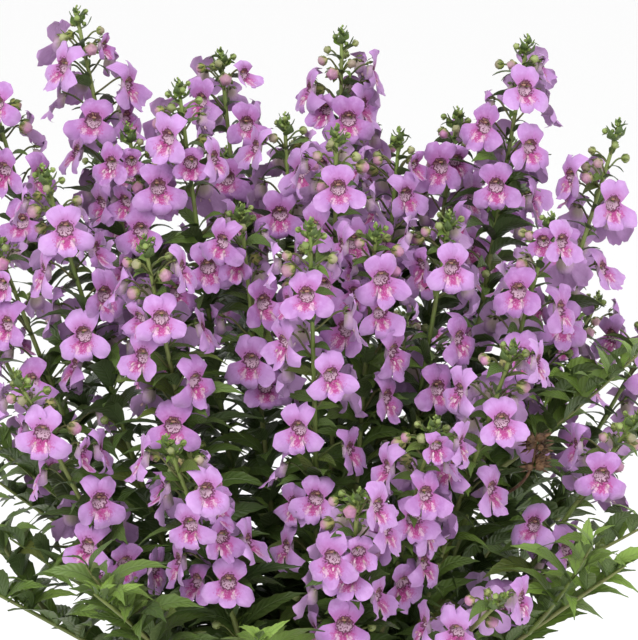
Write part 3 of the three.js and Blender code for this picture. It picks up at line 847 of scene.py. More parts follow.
def lobe_points(lobe, key, bloom):
    """One lobe's front and back, as rows from the throat outwards, in the bloom's own frame."""

    def vary(low, high, kind):
        return between(low, high, *key, kind, lobe)

    across, around, turn = lobe_angles(lobe)
    _, reach, ahead = LOBE_TIPS[lobe]
    reach, ahead = reach * LOBE_REACHES[lobe] * bloom["spread"], ahead * bloom["open"]
    u, t = np.meshgrid(across, LOBE_OUT)
    around = np.broadcast_to(around, u.shape)
    mouth, rim = throat_at(around)
    phase = vary(0, 6.3, 34)
    # The outer part is a round cap, whose corners are drawn in
    cap = np.maximum(0, (t - CAP_FROM) / (1 - CAP_FROM))
    notch = LOBE_NOTCHES[lobe] * vary(0.5, 1.3, 38)
    full = np.sqrt(1 - CAP_ROUND * u ** 2) - notch * np.exp(-(u / 0.25) ** 2)
    full = full + 0.04 * np.sin(5 * u + phase)
    out = np.where(t > CAP_FROM, CAP_FROM + (1 - CAP_FROM) * cap * full, t)
    far = mouth + (reach * vary(0.95, 1.05, 31) - mouth) * out
    waist = LOBE_WAISTS[lobe]
    wider = waist + (1 - waist) * np.sin(np.minimum(1, t / 0.6) * math.pi / 2) + 0.05 * np.sin(7 * t + phase)
    rounder = np.sqrt(1 - CAP_ROUND * cap ** 2)
    aside = u * LOBE_HALF_WIDTHS[lobe] * bloom["narrow"] * vary(0.92, 1.06, 32) * wider * rounder
    join = np.clip(t / 0.34, 0, 1)
    join = join * join * (3 - 2 * join)
    x = mouth * np.cos(around) * (1 - join) + (far * math.cos(turn) - aside * math.sin(turn)) * join
    y = mouth * np.sin(around) * (1 - join) + (far * math.sin(turn) + aside * math.cos(turn)) * join
    # It rises from the throat, cups or rolls back at its sides and tip, and its edge is ruffled
    z = rim + (ahead - rim) * t ** 1.15 + LOBE_LAYERS[lobe] * join
    z = z + vary(0.2, 1.3, 36) * np.sin(math.pi * t) * (1 - 0.7 * u * u)
    z = z + vary(-3.2, 1.4, 39) * u * u * t ** 1.5 + vary(-2.0, 2.0, 35) * u * t ** 2
    z = z - vary(-1.2, 4.8, 33) * t ** 4
    z = z + vary(0.4, 1.1, 40) * np.sin(4.4 * u + phase) * t ** 3 + 0.4 * np.sin(9 * u - phase) * t ** 5
    z = z + 0.5 * np.sin(8 * t + phase) * u ** 4 * t
    thick = PETAL_THICK * (1 - u ** 6) * (1 - t ** 8)
    front = np.stack([x, y, z], -1)
    return front, front - np.stack([0 * x, 0 * x, thick], -1)


def bloom_axes(bloom, key):
    """The bloom's right, up and forward, a little more nodding and turned than in its solid."""
    right, up, forward = arrays(bloom, "right", "up", "forward")
    nod = math.radians(between(-11, 7, *key, 51))
    turn = math.radians(between(-10, 10, *key, 52))
    up, forward = turned(up, forward, nod)
    right, forward = turned(right, forward, turn)
    return np.array([right, up, forward])


def turned(side, forward, angle):
    """Two axes turned in their plane."""
    cosine, sine = math.cos(angle), math.sin(angle)
    return side * cosine - forward * sine, forward * cosine + side * sine


def bloom_form(stem, bloom):
    """An open bloom: a throat bowl, five rolled and ruffled lobes with two faces, and a pouch behind."""
    key = (stem.id, bloom["index"])
    rows, columns = len(LOBE_OUT), LOBE_COLUMNS
    points, back, triangles = [], [], []

    def put(sheet, side, faces):
        triangles.append(faces + sum(len(part) for part in points))
        points.append(sheet.reshape(-1, 3))
        back.append(np.full(len(points[-1]), side))

    faces = grid_triangles(rows, columns, False)
    for lobe in range(5):
        front, rear = lobe_points(lobe, key, bloom)
        put(front, 0.0, faces)
        put(rear, 1.0, faces[:, [0, 2, 1]])
    around = np.concatenate([lobe_angles(lobe)[1][:-1] for lobe in range(5)])
    mouth, rim = throat_at(around)
    low = np.maximum(0, -np.sin(around))
    bowl = [(mouth * share, BOWL_FLOOR + (rim - BOWL_FLOOR) * share ** 2.6) for share in BOWL_RINGS]
    pouch = [
        (mouth, rim - 0.15), (mouth * 0.96 + 0.3, rim - 1.5 - 0.9 * low),
        (mouth * 0.74 + 0.5 * low, rim - 2.7 - 1.6 * low),
        (np.full(len(around), 1.4), np.full(len(around), 0.5)),
    ]
    for rings, side in ((bowl, 0.0), (pouch, 1.0)):
        sheet = np.array([np.stack([far * np.cos(around), far * np.sin(around), z], -1) for far, z in rings])
        put(sheet, side, grid_triangles(len(rings), len(around), True))
    count = len(around)
    middle = sum(len(part) for part in points)
    first = middle - count * len(pouch) - count * len(bowl)
    column = np.arange(count)
    fan = np.stack([0 * column + middle, first + column, first + (column + 1) % count], -1)
    points.append(np.array([[0, 0, BOWL_FLOOR]]))
    back.append(np.zeros(1))
    points, back, triangles = np.concatenate(points), np.concatenate(back), np.concatenate([*triangles, fan])
    uv = points[:, :2] / BLOOM_SPAN + 0.5
    chart = np.stack([uv[:, 0] * 0.49 + 0.505 * back, uv[:, 1]], -1)
    drop = np.ones(len(points))
    drop[middle - count:middle] = 0.15
    drop[middle - 2 * count:middle - count] = 0.9
    points[:, 1] += BLOOM_DROP * drop
    world = np.asarray(bloom["calyx"]) + (points * bloom["size"]) @ bloom_axes(bloom, key)
    return Form(world, triangles, uv, chart, BLOOM_ON_MAP, PETAL_SLOT, back)


def lump(centre, axis, length, width, material, young=0.0, sides=7, rows=6, ribs=0.0):
    """A closed egg along an axis."""
    centre, axis = np.asarray(centre, float), np.asarray(axis, float)
    share = (1 - np.cos(np.linspace(0, math.pi, rows))) / 2
    line = centre + axis * ((share - 0.5) * length)[:, None]
    radii = width * np.sqrt(np.maximum(1e-4, 1 - (2 * share - 1) ** 2))
    return tube(line, radii, sides, material, young, ribs)


def sepals(centre, axis, radius, length, spread, material, young=0.0, turn=0.0):
    """Five small pointed sepals round an axis, in one form."""
    centre, axis = np.asarray(centre, float), np.asarray(axis, float)
    across = np.cross(axis, (0.31, 0.52, 0.8))
    across /= np.linalg.norm(across)
    over = np.cross(axis, across)
    points, triangles = [], []
    for i in range(SEPALS):
        angle = 2 * math.pi * i / SEPALS + turn
        out = math.cos(angle) * across + math.sin(angle) * over
        side = np.cross(axis, out)
        base = centre + out * radius * 0.5
        middle = centre + out * (radius * 1.12) + axis * length * 0.42
        tip = centre + out * (radius + spread) + axis * length
        start = len(points)
        half = side * radius * 0.42
        points += [base, middle + half, middle - half, tip, middle + out * 0.28]
        for a, b, c in ((0, 4, 1), (1, 4, 3), (3, 4, 2), (2, 4, 0), (0, 1, 3), (0, 3, 2)):
            triangles.append((start + a, start + b, start + c))
    uv = np.tile(np.array([[0.5, 0], [0, 0.45], [1, 0.45], [0.5, 1], [0.5, 0.5]]), (SEPALS, 1))
    return Form(points, triangles, uv, uv, (3, 4), material, young=young)


class Sheaf:
    """Collects forms into one mesh piece."""

    def __init__(self, name, materials):
        self.name = name
        self.materials = materials
        self.forms = []
        self.tones = []

    def add(self, form, tone):
        self.forms.append(form)
        self.tones.append(tone)

    def charts(self):
        """Each form's place on the piece's own unwrapped map, in rows from the tallest form down."""
        sizes = [form.size for form in self.forms]
        order = sorted(range(len(sizes)), key=lambda i: -sizes[i][1])
        wide = 1.06 * math.sqrt(sum((w + MAP_GAP) * (h + MAP_GAP) for w, h in sizes))
        spots = {}
        x = y = tall = 0.0
        for i in order:
            w, h = sizes[i]
            if x + w > wide:
                x, y, tall = 0.0, y + tall + MAP_GAP, 0.0
            spots[i] = (x, y)
            x += w + MAP_GAP
            tall = max(tall, h)
        whole = max(wide, y + tall)
        return [(form.chart * form.size + spots[i]) / whole for i, form in enumerate(self.forms)]

    def build(self):
        counts = [len(form.points) for form in self.forms]
        starts = np.concatenate([[0], np.cumsum(counts)[:-1]])
        points = np.concatenate([form.points for form in self.forms]) * MM
        triangles = np.concatenate([form.triangles + start for form, start in zip(self.forms, starts)])
        mesh = bpy.data.meshes.new(self.name)
        mesh.vertices.add(len(points))
        mesh.vertices.foreach_set("co", points.astype(np.float32).ravel())
        mesh.loops.add(3 * len(triangles))
        mesh.loops.foreach_set("vertex_index", triangles.astype(np.int32).ravel())
        mesh.polygons.add(len(triangles))
        mesh.polygons.foreach_set("loop_start", np.arange(0, 3 * len(triangles), 3, dtype=np.int32))
        mesh.polygons.foreach_set("use_smooth", np.ones(len(triangles), bool))
        slots = np.concatenate([np.full(len(form.triangles), form.material) for form in self.forms])
        mesh.polygons.foreach_set("material_index", slots.astype(np.int32))
        for material in self.materials:
            mesh.materials.append(material)
        corners = triangles.ravel()
        for name, values in (("Form", [form.uv for form in self.forms]), ("OFBake", self.charts())):
            layer = mesh.uv_layers.new(name=name)
            layer.uv.foreach_set("vector", np.concatenate(values)[corners].astype(np.float32).ravel())
        tones = [np.full(count, tone) for count, tone in zip(counts, self.tones)]
        for name, values in (
            ("back", [form.back for form in self.forms]),
            ("young", [form.young for form in self.forms]),
            ("tone", tones),
        ):
            attribute = mesh.attributes.new(name, "FLOAT", "POINT")
            attribute.data.foreach_set("value", np.concatenate(values).astype(np.float32))
        mesh.update()
        mesh.validate()
        return link(self.name, mesh)


# Materials

COLOURS = {
    "mauve": (0.39, 0.165, 0.44), "light mauve": (0.55, 0.30, 0.64), "petal mottle": (0.64, 0.40, 0.74),
    "petal streak": (0.32, 0.10, 0.36), "rosy heart": (0.38, 0.07, 0.28), "pale rim": (0.60, 0.38, 0.68),
    "magenta": (0.42, 0.035, 0.22), "pale blotch": (0.62, 0.30, 0.50), "white fold": (0.70, 0.48, 0.63),
    # The throat's dark colour is painted shade under the overhanging upper lip; its peach streaks are its own
    # colour
    "painted throat shade": (0.12, 0.035, 0.055), "throat peach": (0.46, 0.27, 0.17),
    "throat floor": (0.60, 0.40, 0.52), "throat mark": (0.11, 0.018, 0.055),
    "petal rear": (0.56, 0.40, 0.58), "rear base": (0.42, 0.33, 0.30),
    "tooth brown": (0.28, 0.12, 0.10), "tooth peach": (0.46, 0.27, 0.18),
    "tooth pink": (0.58, 0.34, 0.50), "tooth white": (0.78, 0.64, 0.66),
    "dark leaf": (0.030, 0.056, 0.015), "light leaf": (0.078, 0.126, 0.030),
    "leaf mottle": (0.044, 0.080, 0.018),
    "bronze leaf": (0.10, 0.07, 0.02), "young leaf": (0.21, 0.33, 0.055), "leaf vein": (0.12, 0.17, 0.05),
    "leaf edge": (0.10, 0.085, 0.03), "leaf back": (0.075, 0.11, 0.045),
    "old stem": (0.065, 0.085, 0.018), "brown stem": (0.10, 0.085, 0.028),
    "young stem": (0.17, 0.25, 0.045), "pale stem": (0.25, 0.31, 0.085), "stem mottle": (0.12, 0.07, 0.045),
    "green bud": (0.19, 0.28, 0.05), "pale bud": (0.32, 0.41, 0.12), "yellow bud": (0.38, 0.40, 0.08),
    "ochre bud": (0.50, 0.42, 0.17), "rosy bud": (0.52, 0.20, 0.40), "bud mottle": (0.10, 0.12, 0.04),
    "dark brown": (0.042, 0.018, 0.009), "dry brown": (0.17, 0.09, 0.04),
    "dark clay": (0.29, 0.105, 0.052), "light clay": (0.35, 0.14, 0.07), "drag line": (0.40, 0.19, 0.11),
    "dust": (0.20, 0.12, 0.07), "peat": (0.018, 0.010, 0.006), "pale peat": (0.060, 0.034, 0.019),
    "bark": (0.085, 0.050, 0.028), "floor white": (0.97, 0.97, 0.97),
}


PATCHES = 37.0


class Value:
    """A number, colour or vector that a node gives."""

    def __init__(self, paint, socket):
        self.paint = paint
        self.socket = socket

    def __add__(self, other):
        return self.paint.math("ADD", self, other)

    def __sub__(self, other):
        return self.paint.math("SUBTRACT", self, other)

    def __mul__(self, other):
        return self.paint.math("MULTIPLY", self, other)

    def __abs__(self):
        return self.paint.math("ABSOLUTE", self)


class Paint:
    """A material's nodes, with short calls for those that several materials use."""

    def __init__(self, name, roughness):
        self.material = bpy.data.materials.new(name)
        self.material.use_nodes = True
        self.tree = self.material.node_tree
        self.shader = self.tree.nodes["Principled BSDF"]
        self.set(Roughness=roughness)

    def set(self, **values):
        for name, value in values.items():
            self.shader.inputs[name.replace("_", " ")].default_value = value

    def put(self, socket, value):
        """Gives a socket a node's value, a named colour or a number."""
        if isinstance(value, Value):
            self.tree.links.new(value.socket, socket)
        else:
            socket.default_value = (*COLOURS[value], 1.0) if isinstance(value, str) else value

    def node(self, kind, inputs, output=0, **settings):
        node = self.tree.nodes.new(kind)
        for name, value in settings.items():
            setattr(node, name, value)
        for key, value in inputs.items():
            self.put(node.inputs[key], value)
        return Value(self, node.outputs[output])

    def math(self, operation, a, b=0.0):
        return self.node("ShaderNodeMath", {0: a, 1: b}, operation=operation)

    def blend(self, share, a, b):
        return self.node("ShaderNodeMix", {"Factor": share, 6: a, 7: b}, 2, data_type="RGBA")

    def ease(self, value, start, end):
        """0 at start to 1 at end, smoothly."""
        return self.node("ShaderNodeMapRange", {0: value, 1: start, 2: end}, interpolation_type="SMOOTHSTEP")

    def over(self, below, colour, value, start, end, most):
        """A colour laid over another, from nothing where a value is start to most where it is end."""
        return self.blend(self.ease(value, start, end) * most, below, colour)

    def oval(self, x, y, middle_x, middle_y, half_x, half_y):
        """How far a point is from the middle of an oval, 1 on the oval itself."""
        across = (x - middle_x) * (1 / half_x)
        over = (y - middle_y) * (1 / half_y)
        return self.math("SQRT", across * across + over * over)

    def vector(self, x, y, z=0.0):
        return self.node("ShaderNodeCombineXYZ", {0: x, 1: y, 2: z})

    def split(self, vector):
        node = self.tree.nodes.new("ShaderNodeSeparateXYZ")
        self.put(node.inputs[0], vector)
        return [Value(self, output) for output in node.outputs]

    def attributes(self, *names):
        return [self.node("ShaderNodeAttribute", {}, "Fac", attribute_name=name) for name in names]

    def place(self):
        """Where a point is on the object, in metres."""
        return self.node("ShaderNodeTexCoord", {}, "Object")

    def form_place(self):
        """Where a point is on its form's own flat map, as two numbers."""
        return self.split(self.node("ShaderNodeUVMap", {}, uv_map="Form"))[:2]

    def noise(self, at, scale, detail=2.0):
        inputs = {"Vector": at, "Scale": scale, "Detail": detail, "Roughness": 0.5}
        return self.node("ShaderNodeTexNoise", inputs, "Fac")

    def bump(self, height, strength, distance):
        inputs = {"Height": height, "Strength": strength, "Distance": distance}
        self.put(self.shader.inputs["Normal"], self.node("ShaderNodeBump", inputs))

    def colour(self, value):
        self.put(self.shader.inputs["Base Color"], value)


def petal_paint():
    paint = Paint("petal", 0.6)
    u, v = paint.form_place()
    x = (u - 0.5) * BLOOM_SPAN
    y = (v - 0.5) * BLOOM_SPAN
    angle = paint.math("ARCTAN2", y, x)
    away = paint.oval(x, y, 0, 0, 1, 1)
    tone, back = paint.attributes("tone", "back")
    # Each bloom has its own patch of the noises
    patch = tone * PATCHES
    streaks = paint.noise(paint.vector(angle * 7.0, away * 0.2, patch), 1.0, 3.0)
    flat = paint.vector(x, y, patch)
    mottle = paint.noise(flat, 0.3)
    blotch = paint.noise(flat, 1.1)
    plain = paint.blend(tone, "mauve", "light mauve")
    plain = paint.over(plain, "petal mottle", mottle, 0.4, 0.75, 0.35)
    plain = paint.over(plain, "petal streak", streaks, 0.5, 0.8, 0.3)
    wavy = away + (mottle - 0.5) * 2.5
    front = paint.over(plain, "rosy heart", wavy, 9.0, 3.8, 0.55)
    front = paint.over(front, "pale rim", wavy, 9.5, 13.0, 0.3)
    # The lower lip's base is blotched with magenta, and its two folds are nearly white
    zone = paint.oval(x, y, 0, -4.9, 5.0, 3.0) + (blotch - 0.5) * 1.6
    front = paint.over(front, "magenta", zone, 1.3, 0.6, 0.9)
    pale = paint.ease(blotch, 0.52, 0.66) * paint.ease(zone, 1.3, 0.8)
    front = paint.blend(pale * 0.6, front, "pale blotch")
    fold = paint.oval(abs(x), y, 2.8, -6.0, 1.2, 1.9) + (blotch - 0.5) * 4.0
    front = paint.over(front, "white fold", fold, 1.2, 0.5, 0.8)
    # The throat: painted shade under the overhanging upper lip makes its upper part a dark hollow, with peach
    # streaks over a pale floor, dashed and ringed in dark brown
    ring = paint.oval(x, y, 0, 0.2, 3.4, 3.5)
    throat_shade_share = paint.ease(y + blotch * 2.0, 0.2, 3.0)
    peach = paint.ease(streaks, 0.46, 0.6) * paint.ease(y, 0.6, 2.2)
    hollow = paint.blend(peach * 0.6, "painted throat shade", "throat peach")
    front = paint.blend(paint.ease(ring, 1.12, 0.96), front, paint.blend(throat_shade_share, "throat floor", hollow))
    cells = paint.vector(angle * 3.2, ring * 3.6, patch)
    dash = paint.node("ShaderNodeTexVoronoi", {"Vector": cells, "Scale": 1.0}, "Distance")
    band = paint.ease(ring, 0.2, 0.4) * paint.ease(ring, 1.55, 1.1)
    edge = abs(ring + paint.math("SINE", angle * 9.0) * 0.06 - 1.02)
    marks = paint.math("MAXIMUM", band * paint.ease(dash, 0.47, 0.34), paint.ease(edge, 0.1, 0.035))
    front = paint.blend(marks * 0.92, front, "throat mark")
    rear = paint.over(paint.blend(0.35, plain, "petal rear"), "rear base", away, 5.4, 2.4, 1.0)
    paint.colour(paint.blend(paint.ease(back, 0.6, 0.9), front, rear))
    paint.bump(paint.noise(flat, 2.4) * 0.6 + streaks, 0.4, 0.0006)
    paint.set(Sheen_Weight=0.2, Sheen_Roughness=0.5, Specular_IOR_Level=0.3)
    return paint.material


def throat_paint():
    paint = Paint("throat_fold", 0.5)
    young, = paint.attributes("young")
    grain = paint.noise(paint.place(), 900.0)
    brown = paint.blend(grain, "tooth brown", "tooth peach")
    paint.colour(paint.blend(young, brown, paint.blend(grain, "tooth pink", "tooth white")))
    paint.bump(grain, 0.3, 0.0003)
    return paint.material


def leaf_paint():
    paint = Paint("leaf", 0.4)
    u, v = paint.form_place()
    tone, back, young = paint.attributes("tone", "back", "young")
    across = abs(u - 0.5) * 2.0
    plain = paint.blend(tone, "dark leaf", "light leaf")
    plain = paint.blend(paint.noise(paint.place(), 90.0, 3.0) * 0.5, plain, "leaf mottle")
    plain = paint.over(plain, "bronze leaf", tone, 0.86, 1.0, 0.6)
    plain = paint.blend(young, plain, "young leaf")
    # A middle rib, and veins that slant forward from it
    wave = abs(paint.math("FRACT", v * 10.0 - across * 1.5) - 0.5)
    rib = paint.ease(across, 0.11, 0.02)
    lines = paint.math("MAXIMUM", paint.ease(wave, 0.1, 0.0) * 0.45, rib)
    plain = paint.blend(lines * 0.5, plain, "leaf vein")
    plain = paint.over(plain, "leaf edge", across, 0.86, 1.0, 0.35)
    paint.colour(paint.blend(back * 0.75, plain, "leaf back"))
    paint.bump(wave - rib, 0.5, 0.0007)
    paint.set(Specular_IOR_Level=0.35)
    return paint.material


def stem_paint():
    paint = Paint("stem", 0.5)
    young, tone = paint.attributes("young", "tone")
    grain = paint.noise(paint.place(), 160.0, 3.0)
    old = paint.blend(tone, "old stem", "brown stem")
    plain = paint.blend(young, old, paint.blend(tone, "young stem", "pale stem"))
    paint.colour(paint.over(plain, "stem mottle", grain, 0.5, 0.75, 0.4))
    paint.bump(grain, 0.3, 0.0004)
    return paint.material


def bud_paint():
    """Green where young, and from yellow-green at the calyx to rosy at the tip where nearly open."""
    paint = Paint("bud", 0.42)
    young, tone = paint.attributes("young", "tone")
    grain = paint.noise(paint.place(), 420.0, 3.0)
    middle = paint.blend(tone, "yellow bud", "ochre bud")
    ripe = paint.over(middle, "rosy bud", paint.form_place()[1], 0.25, 0.85, 1.0)
    plain = paint.blend(young, ripe, paint.blend(tone, "green bud", "pale bud"))
    paint.colour(paint.over(plain, "bud mottle", grain, 0.35, 0.7, 0.35))
    paint.bump(grain, 0.4, 0.0004)
    return paint.material


def dry_paint():
    """The brown, crumpled remains of a spent raceme."""
    paint = Paint("dried_capsules", 0.75)
    grain = paint.noise(paint.place(), 300.0, 4.0)
    paint.colour(paint.blend(paint.ease(grain, 0.3, 0.7), "dark brown", "dry brown"))
    paint.bump(grain, 0.8, 0.0008)
    return paint.material


PETAL, TOOTH = petal_paint(), throat_paint()
LEAF, STEM, BUD, DRY = leaf_paint(), stem_paint(), bud_paint(), dry_paint()


# Dressing the stems

def smooth_line(stem):
    """A stem's middle line with its bends rounded."""
    places = [np.asarray(at, float) for _, at in stem.stations]
    line = [places[0]]
    for before, here, after in zip(places, places[1:], places[2:]):
        reach = min(14.0, np.linalg.norm(here - before) / 2, np.linalg.norm(after - here) / 2)
        start = here + (before - here) / np.linalg.norm(before - here) * reach
        end = here + (after - here) / np.linalg.norm(after - here) * reach
        line += list(bezier([start, here, end], 5))
    line.append(places[-1])
    return np.array(line)


def tone_of(*keys):
    return draw(*keys, 41)


def add_bud(sheaf, stem, bud, young, number, wide=0.95):
    """A nodding bud or capsule with its stalk and calyx."""
    size = bud["size"]
    at, neck, way, nod = arrays(bud, "at", "neck", "way", "nod")
    reach = float(np.linalg.norm(neck - at))
    tone = tone_of(stem.id, number)
    line = bezier([at - way * 0.9, at + way * reach * 0.5, neck - nod * reach * 0.35, neck + nod * 0.4], 7)
    radius = BUD_STALK_RADIUS + 0.12 * min(1, size)
    sheaf.add(tube(line, np.full(7, radius), 5, STEM_SLOT, young * 0.5), tone)
    middle = neck + nod * size * BUD_LENGTH * 0.52
    length, width = size * BUD_LENGTH * 1.06, BUD_RADIUS * wide * size
    sides, ribs = (10, 0.09) if size > 0.8 else (7, 0.0)
    sheaf.add(lump(middle, nod, length, width, BUD_SLOT, young, sides, 6, ribs), tone)
    calyx = neck + nod * 0.1 * size
    sheaf.add(sepals(calyx, nod, 2.0 * size, 3.3 * size, 0.75 * size, STEM_SLOT, 0.45, turn=tone * 3), tone)


def add_leaves(sheaf, stem):
    for number, leaf in enumerate(stem.leaf_list):
        young = 0.0 if stem.blooms else 0.4 * (1 - min(1, (stem.rise - leaf["height"]) / 70))
        curl = between(-0.35, 0.35, stem.id, 42, number)
        sheaf.add(blade(leaf, 10, FINE_COLUMNS, young, 0.6, curl), tone_of(stem.id, 1, number))
    add_small_leaves(sheaf, stem)
    for number, (height, azimuth, length, rise, young) in enumerate(stem.bracts):
        leaf = try_small_leaf(stem, 0, height, azimuth, length, rise, number)
        leaf["width"] = length * BRACT_WIDTH
        young = young + 0.25 * draw(stem.id, 44, number)
        sheaf.add(blade(leaf, 0, PLAIN_COLUMNS, young, 0.25), tone_of(stem.id, 3, number))


def add_small_leaves(sheaf, stem):
    for number, leaf in enumerate(stem.small_leaves):
        curl = between(-0.5, 0.5, stem.id, 43, number)
        teeth = 5 if leaf["tip"][1] < 0 else 4
        young = min(1.0, leaf["young"])
        sheaf.add(blade(leaf, teeth, PLAIN_COLUMNS, young, 0.3, curl), tone_of(stem.id, 2, number))


def add_twig(sheaf, twig):
    line = bezier([at for _, at in twig.stations], 12)
    sheaf.add(tube(line, np.linspace(*TWIG_RADII, 12), 6, STEM_SLOT, 0.45), tone_of(twig.id))
    add_small_leaves(sheaf, twig)


def add_stalk(sheaf, stem, bloom):
    """A bloom's bent stalk and its calyx."""
    at, calyx, way, forward = arrays(bloom, "at", "calyx", "way", "forward")
    reach = bloom["length"]
    bend = calyx - forward * reach * 0.3
    line = bezier([at - way, at + way * reach * 0.55, bend, calyx + forward * 0.6], 9)
    tone = tone_of(stem.id, 4, bloom["index"])
    sheaf.add(tube(line, np.full(9, BLOOM_STALK_RADIUS), 5, STEM_SLOT, 0.15), tone)
    sheaf.add(sepals(calyx - forward * 0.5, forward, 2.0, 3.6, 1.3, STEM_SLOT, 0.5, turn=tone * 2), tone)


def add_green(sheaf, stem):
    """Everything green on one stem."""
    line = smooth_line(stem)
    heights = line[:, 2] - SOIL_LEVEL
    radii = np.array([stem.radius(h) for h in heights]) * (STEM_SLIM if stem.blooms else SHOOT_SLIM)
    radii[-1] = 0.4
    young = np.clip(heights / stem.rise, 0, 1) ** 1.1 * (1.0 if stem.blooms else 0.6)
    sheaf.add(tube(line, radii, STEM_SIDES, STEM_SLOT, np.repeat(young, STEM_SIDES + 1)), tone_of(stem.id))
    add_leaves(sheaf, stem)
    for bloom in stem.bloom_list + stem.more_list:
        add_stalk(sheaf, stem, bloom)
    for number, bud in enumerate(stem.bud_list):
        add_bud(sheaf, stem, bud, 0.35 * draw(stem.id, 45), 50 + number)
    for number, bud in enumerate(stem.small_buds):
        add_bud(sheaf, stem, bud, min(1.0, 1.5 - bud["size"] + 0.3 * draw(stem.id, 46, number)), 60 + number)
    for number, bud in enumerate(stem.opening_buds):
        add_bud(sheaf, stem, bud, 0.25 * draw(stem.id, 47, number), 80 + number, 0.85)
    for number, bud in enumerate(stem.capsules):
        add_bud(sheaf, stem, bud, 0.9, 90 + number)
    if stem.blooms:
        add_tip(sheaf, stem)
    for twig in twigs:
        if twig.parent is stem:
            add_twig(sheaf, twig)
    if stem.id == DRIED_ON:
        add_dried(sheaf, stem)


def add_dried(sheaf, stem):
    """A spent side spike: a bare stalk with crumpled brown capsules round its end."""
    foot, tip = np.asarray(stem.point(DRIED_FROM)), np.array(DRIED_TIP, float)
    line = bezier([foot, foot + (tip - foot) * (0.5, 0.5, 0.2), tip - (0, 0, 24), tip], 14)
    sheaf.add(tube(line, np.linspace(0.9, 0.6, 14), 6, DRY_SLOT), 0.5)
    for i in range(DRIED_COUNT):
        root = tip - np.array(UP) * (15 * i / DRIED_COUNT)
        azimuth = between(0, 360, stem.id, 54, i)
        way = np.asarray(lifted(level(azimuth), between(-20, 50, stem.id, 55, i)))
        centre = root + way * between(2.2, 4.4, stem.id, 56, i)
        tone = tone_of(stem.id, 57, i)
        size = between(1.3, 2.2, stem.id, 58, i)
        sheaf.add(lump(centre, way, 2.3 * size, size, DRY_SLOT, 0.0, 10, 5, 0.22), tone)
        sheaf.add(tube([root, root + (centre - root) * 0.5, centre], [0.4, 0.35, 0.4], 5, DRY_SLOT), tone)
        sheaf.add(sepals(centre, way, size, 2.6 * size, 1.2, DRY_SLOT, turn=tone * 3), tone)


def add_tip(sheaf, stem):
    """The tight tip of a raceme: tiny round buds, each in a small oval bract."""
    for i in range(TIP_BUDS):
        azimuth = GOLDEN_TURN * i + 50 * stem.id
        height = min(stem.rise - 9 + 1.1 * i, stem.rise)
        at = np.asarray(stem.point(height))
        out, up = np.array([level(azimuth), UP])
        radius = 1.1 - 0.06 * i
        tone = tone_of(stem.id, 5, i)
        way = np.asarray(lifted(level(azimuth), 32 + 5 * i))
        sheaf.add(lump(at + way * (2.7 - 0.2 * i), way, 2.1 * radius, radius, BUD_SLOT, 1.0, 6, 5), tone)
        root = at - up * 1.2
        length = 9.6 - 0.7 * i
        bend = root + out * length * 0.4 + up * length * 0.22
        leaf = {
            "foot": root, "bend": bend, "tip": bend + out * length * 0.2 + up * length * 0.42,
            "side": np.asarray(level(azimuth + 90)), "width": length * 0.27,
        }
        sheaf.add(blade(leaf, 0, PLAIN_COLUMNS, 0.8, 0.25), tone)


def add_petals(sheaf, stem):
    """The blooms of one stem, each with two pale teeth under its throat and a fold over it."""
    for bloom in stem.bloom_list + stem.more_list:
        tone = tone_of(stem.id, 6, bloom["index"]) * (0.75 if bloom["index"] < 2 else 1.0)
        sheaf.add(bloom_form(stem, bloom), tone)
        right, up, forward = arrays(bloom, "right", "up", "forward")
        for hand in (-1, 1):
            size = between(0.3, 1.0, stem.id, 53, bloom["index"], hand + 1)
            centre = in_bloom(bloom, hand * 2.4, BLOOM_DROP - 4.9, 5.3)
            way = forward * 0.5 - up * 0.8 + right * 0.3 * hand
            way = way / np.linalg.norm(way)
            sheaf.add(lump(centre, way, 1.2 + 1.3 * size, 0.55, TOOTH_SLOT, size, 5, 4), tone)
        centre = in_bloom(bloom, 0, BLOOM_DROP + 2.0, 2.6)
        sheaf.add(lump(centre, right, 2.4, 0.6, TOOTH_SLOT, 0.0, 5, 4), tone)


def node_name(stem):
    if stem.blooms:
        return f"flowering_stem_{stem.id + 1:02d}"
    return f"leafy_shoot_{stem.id - len(FLOWERING) + 1:02d}"


def dress_group(group, number, flowering):
    nodes = [node_name(stem) for stem in group]
    name = f"{'racemes' if flowering else 'shoots'}_{number:02d}"
    green = Sheaf(f"{name}_green", [LEAF, STEM, BUD, DRY])
    for stem in group:
        add_green(green, stem)
    made = [(green.build(), "foliage")]
    if flowering:
        petals = Sheaf(f"{name}_blooms", [PETAL, TOOTH])
        for stem in group:
            add_petals(petals, stem)
        made.append((petals.build(), "petals"))
    for piece, slot in made:
        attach(piece, "root")
        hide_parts(*nodes)


racemes, shoots = stems[:len(FLOWERING)], stems[len(FLOWERING):]
for growth, together in ((racemes, STEMS_TOGETHER), (shoots, SHOOTS_TOGETHER)):
    for number, start in enumerate(range(0, len(growth), together), 1):
        dress_group(growth[start:start + together], number, growth is racemes)


# Pot and soil

def pot_paint():
    """Matt moulded plastic: a fine grain, faint drag lines down the wall, and dust near the foot."""
    paint = Paint("pot_plastic", 0.55)
    place = paint.place()
    x, y, z = paint.split(place)
    drag = paint.noise(paint.vector(paint.math("ARCTAN2", y, x) * 26.0, z * 6.0), 1.0, 3.0)
    grain = paint.noise(place, 1500.0)
    cloud = paint.noise(place, 28.0, 3.0)
    plain = paint.blend(cloud, "dark clay", "light clay")
    plain = paint.over(plain, "drag line", drag, 0.52, 0.75, 0.3)
    dust = paint.ease(z, 0.05, 0.0) * paint.ease(cloud, 0.4, 0.65)
    paint.colour(paint.blend(dust * 0.5, plain, "dust"))
    paint.bump(grain + drag * 0.5, 0.35, 0.0003)
    paint.set(Specular_IOR_Level=0.4)
    return paint.material


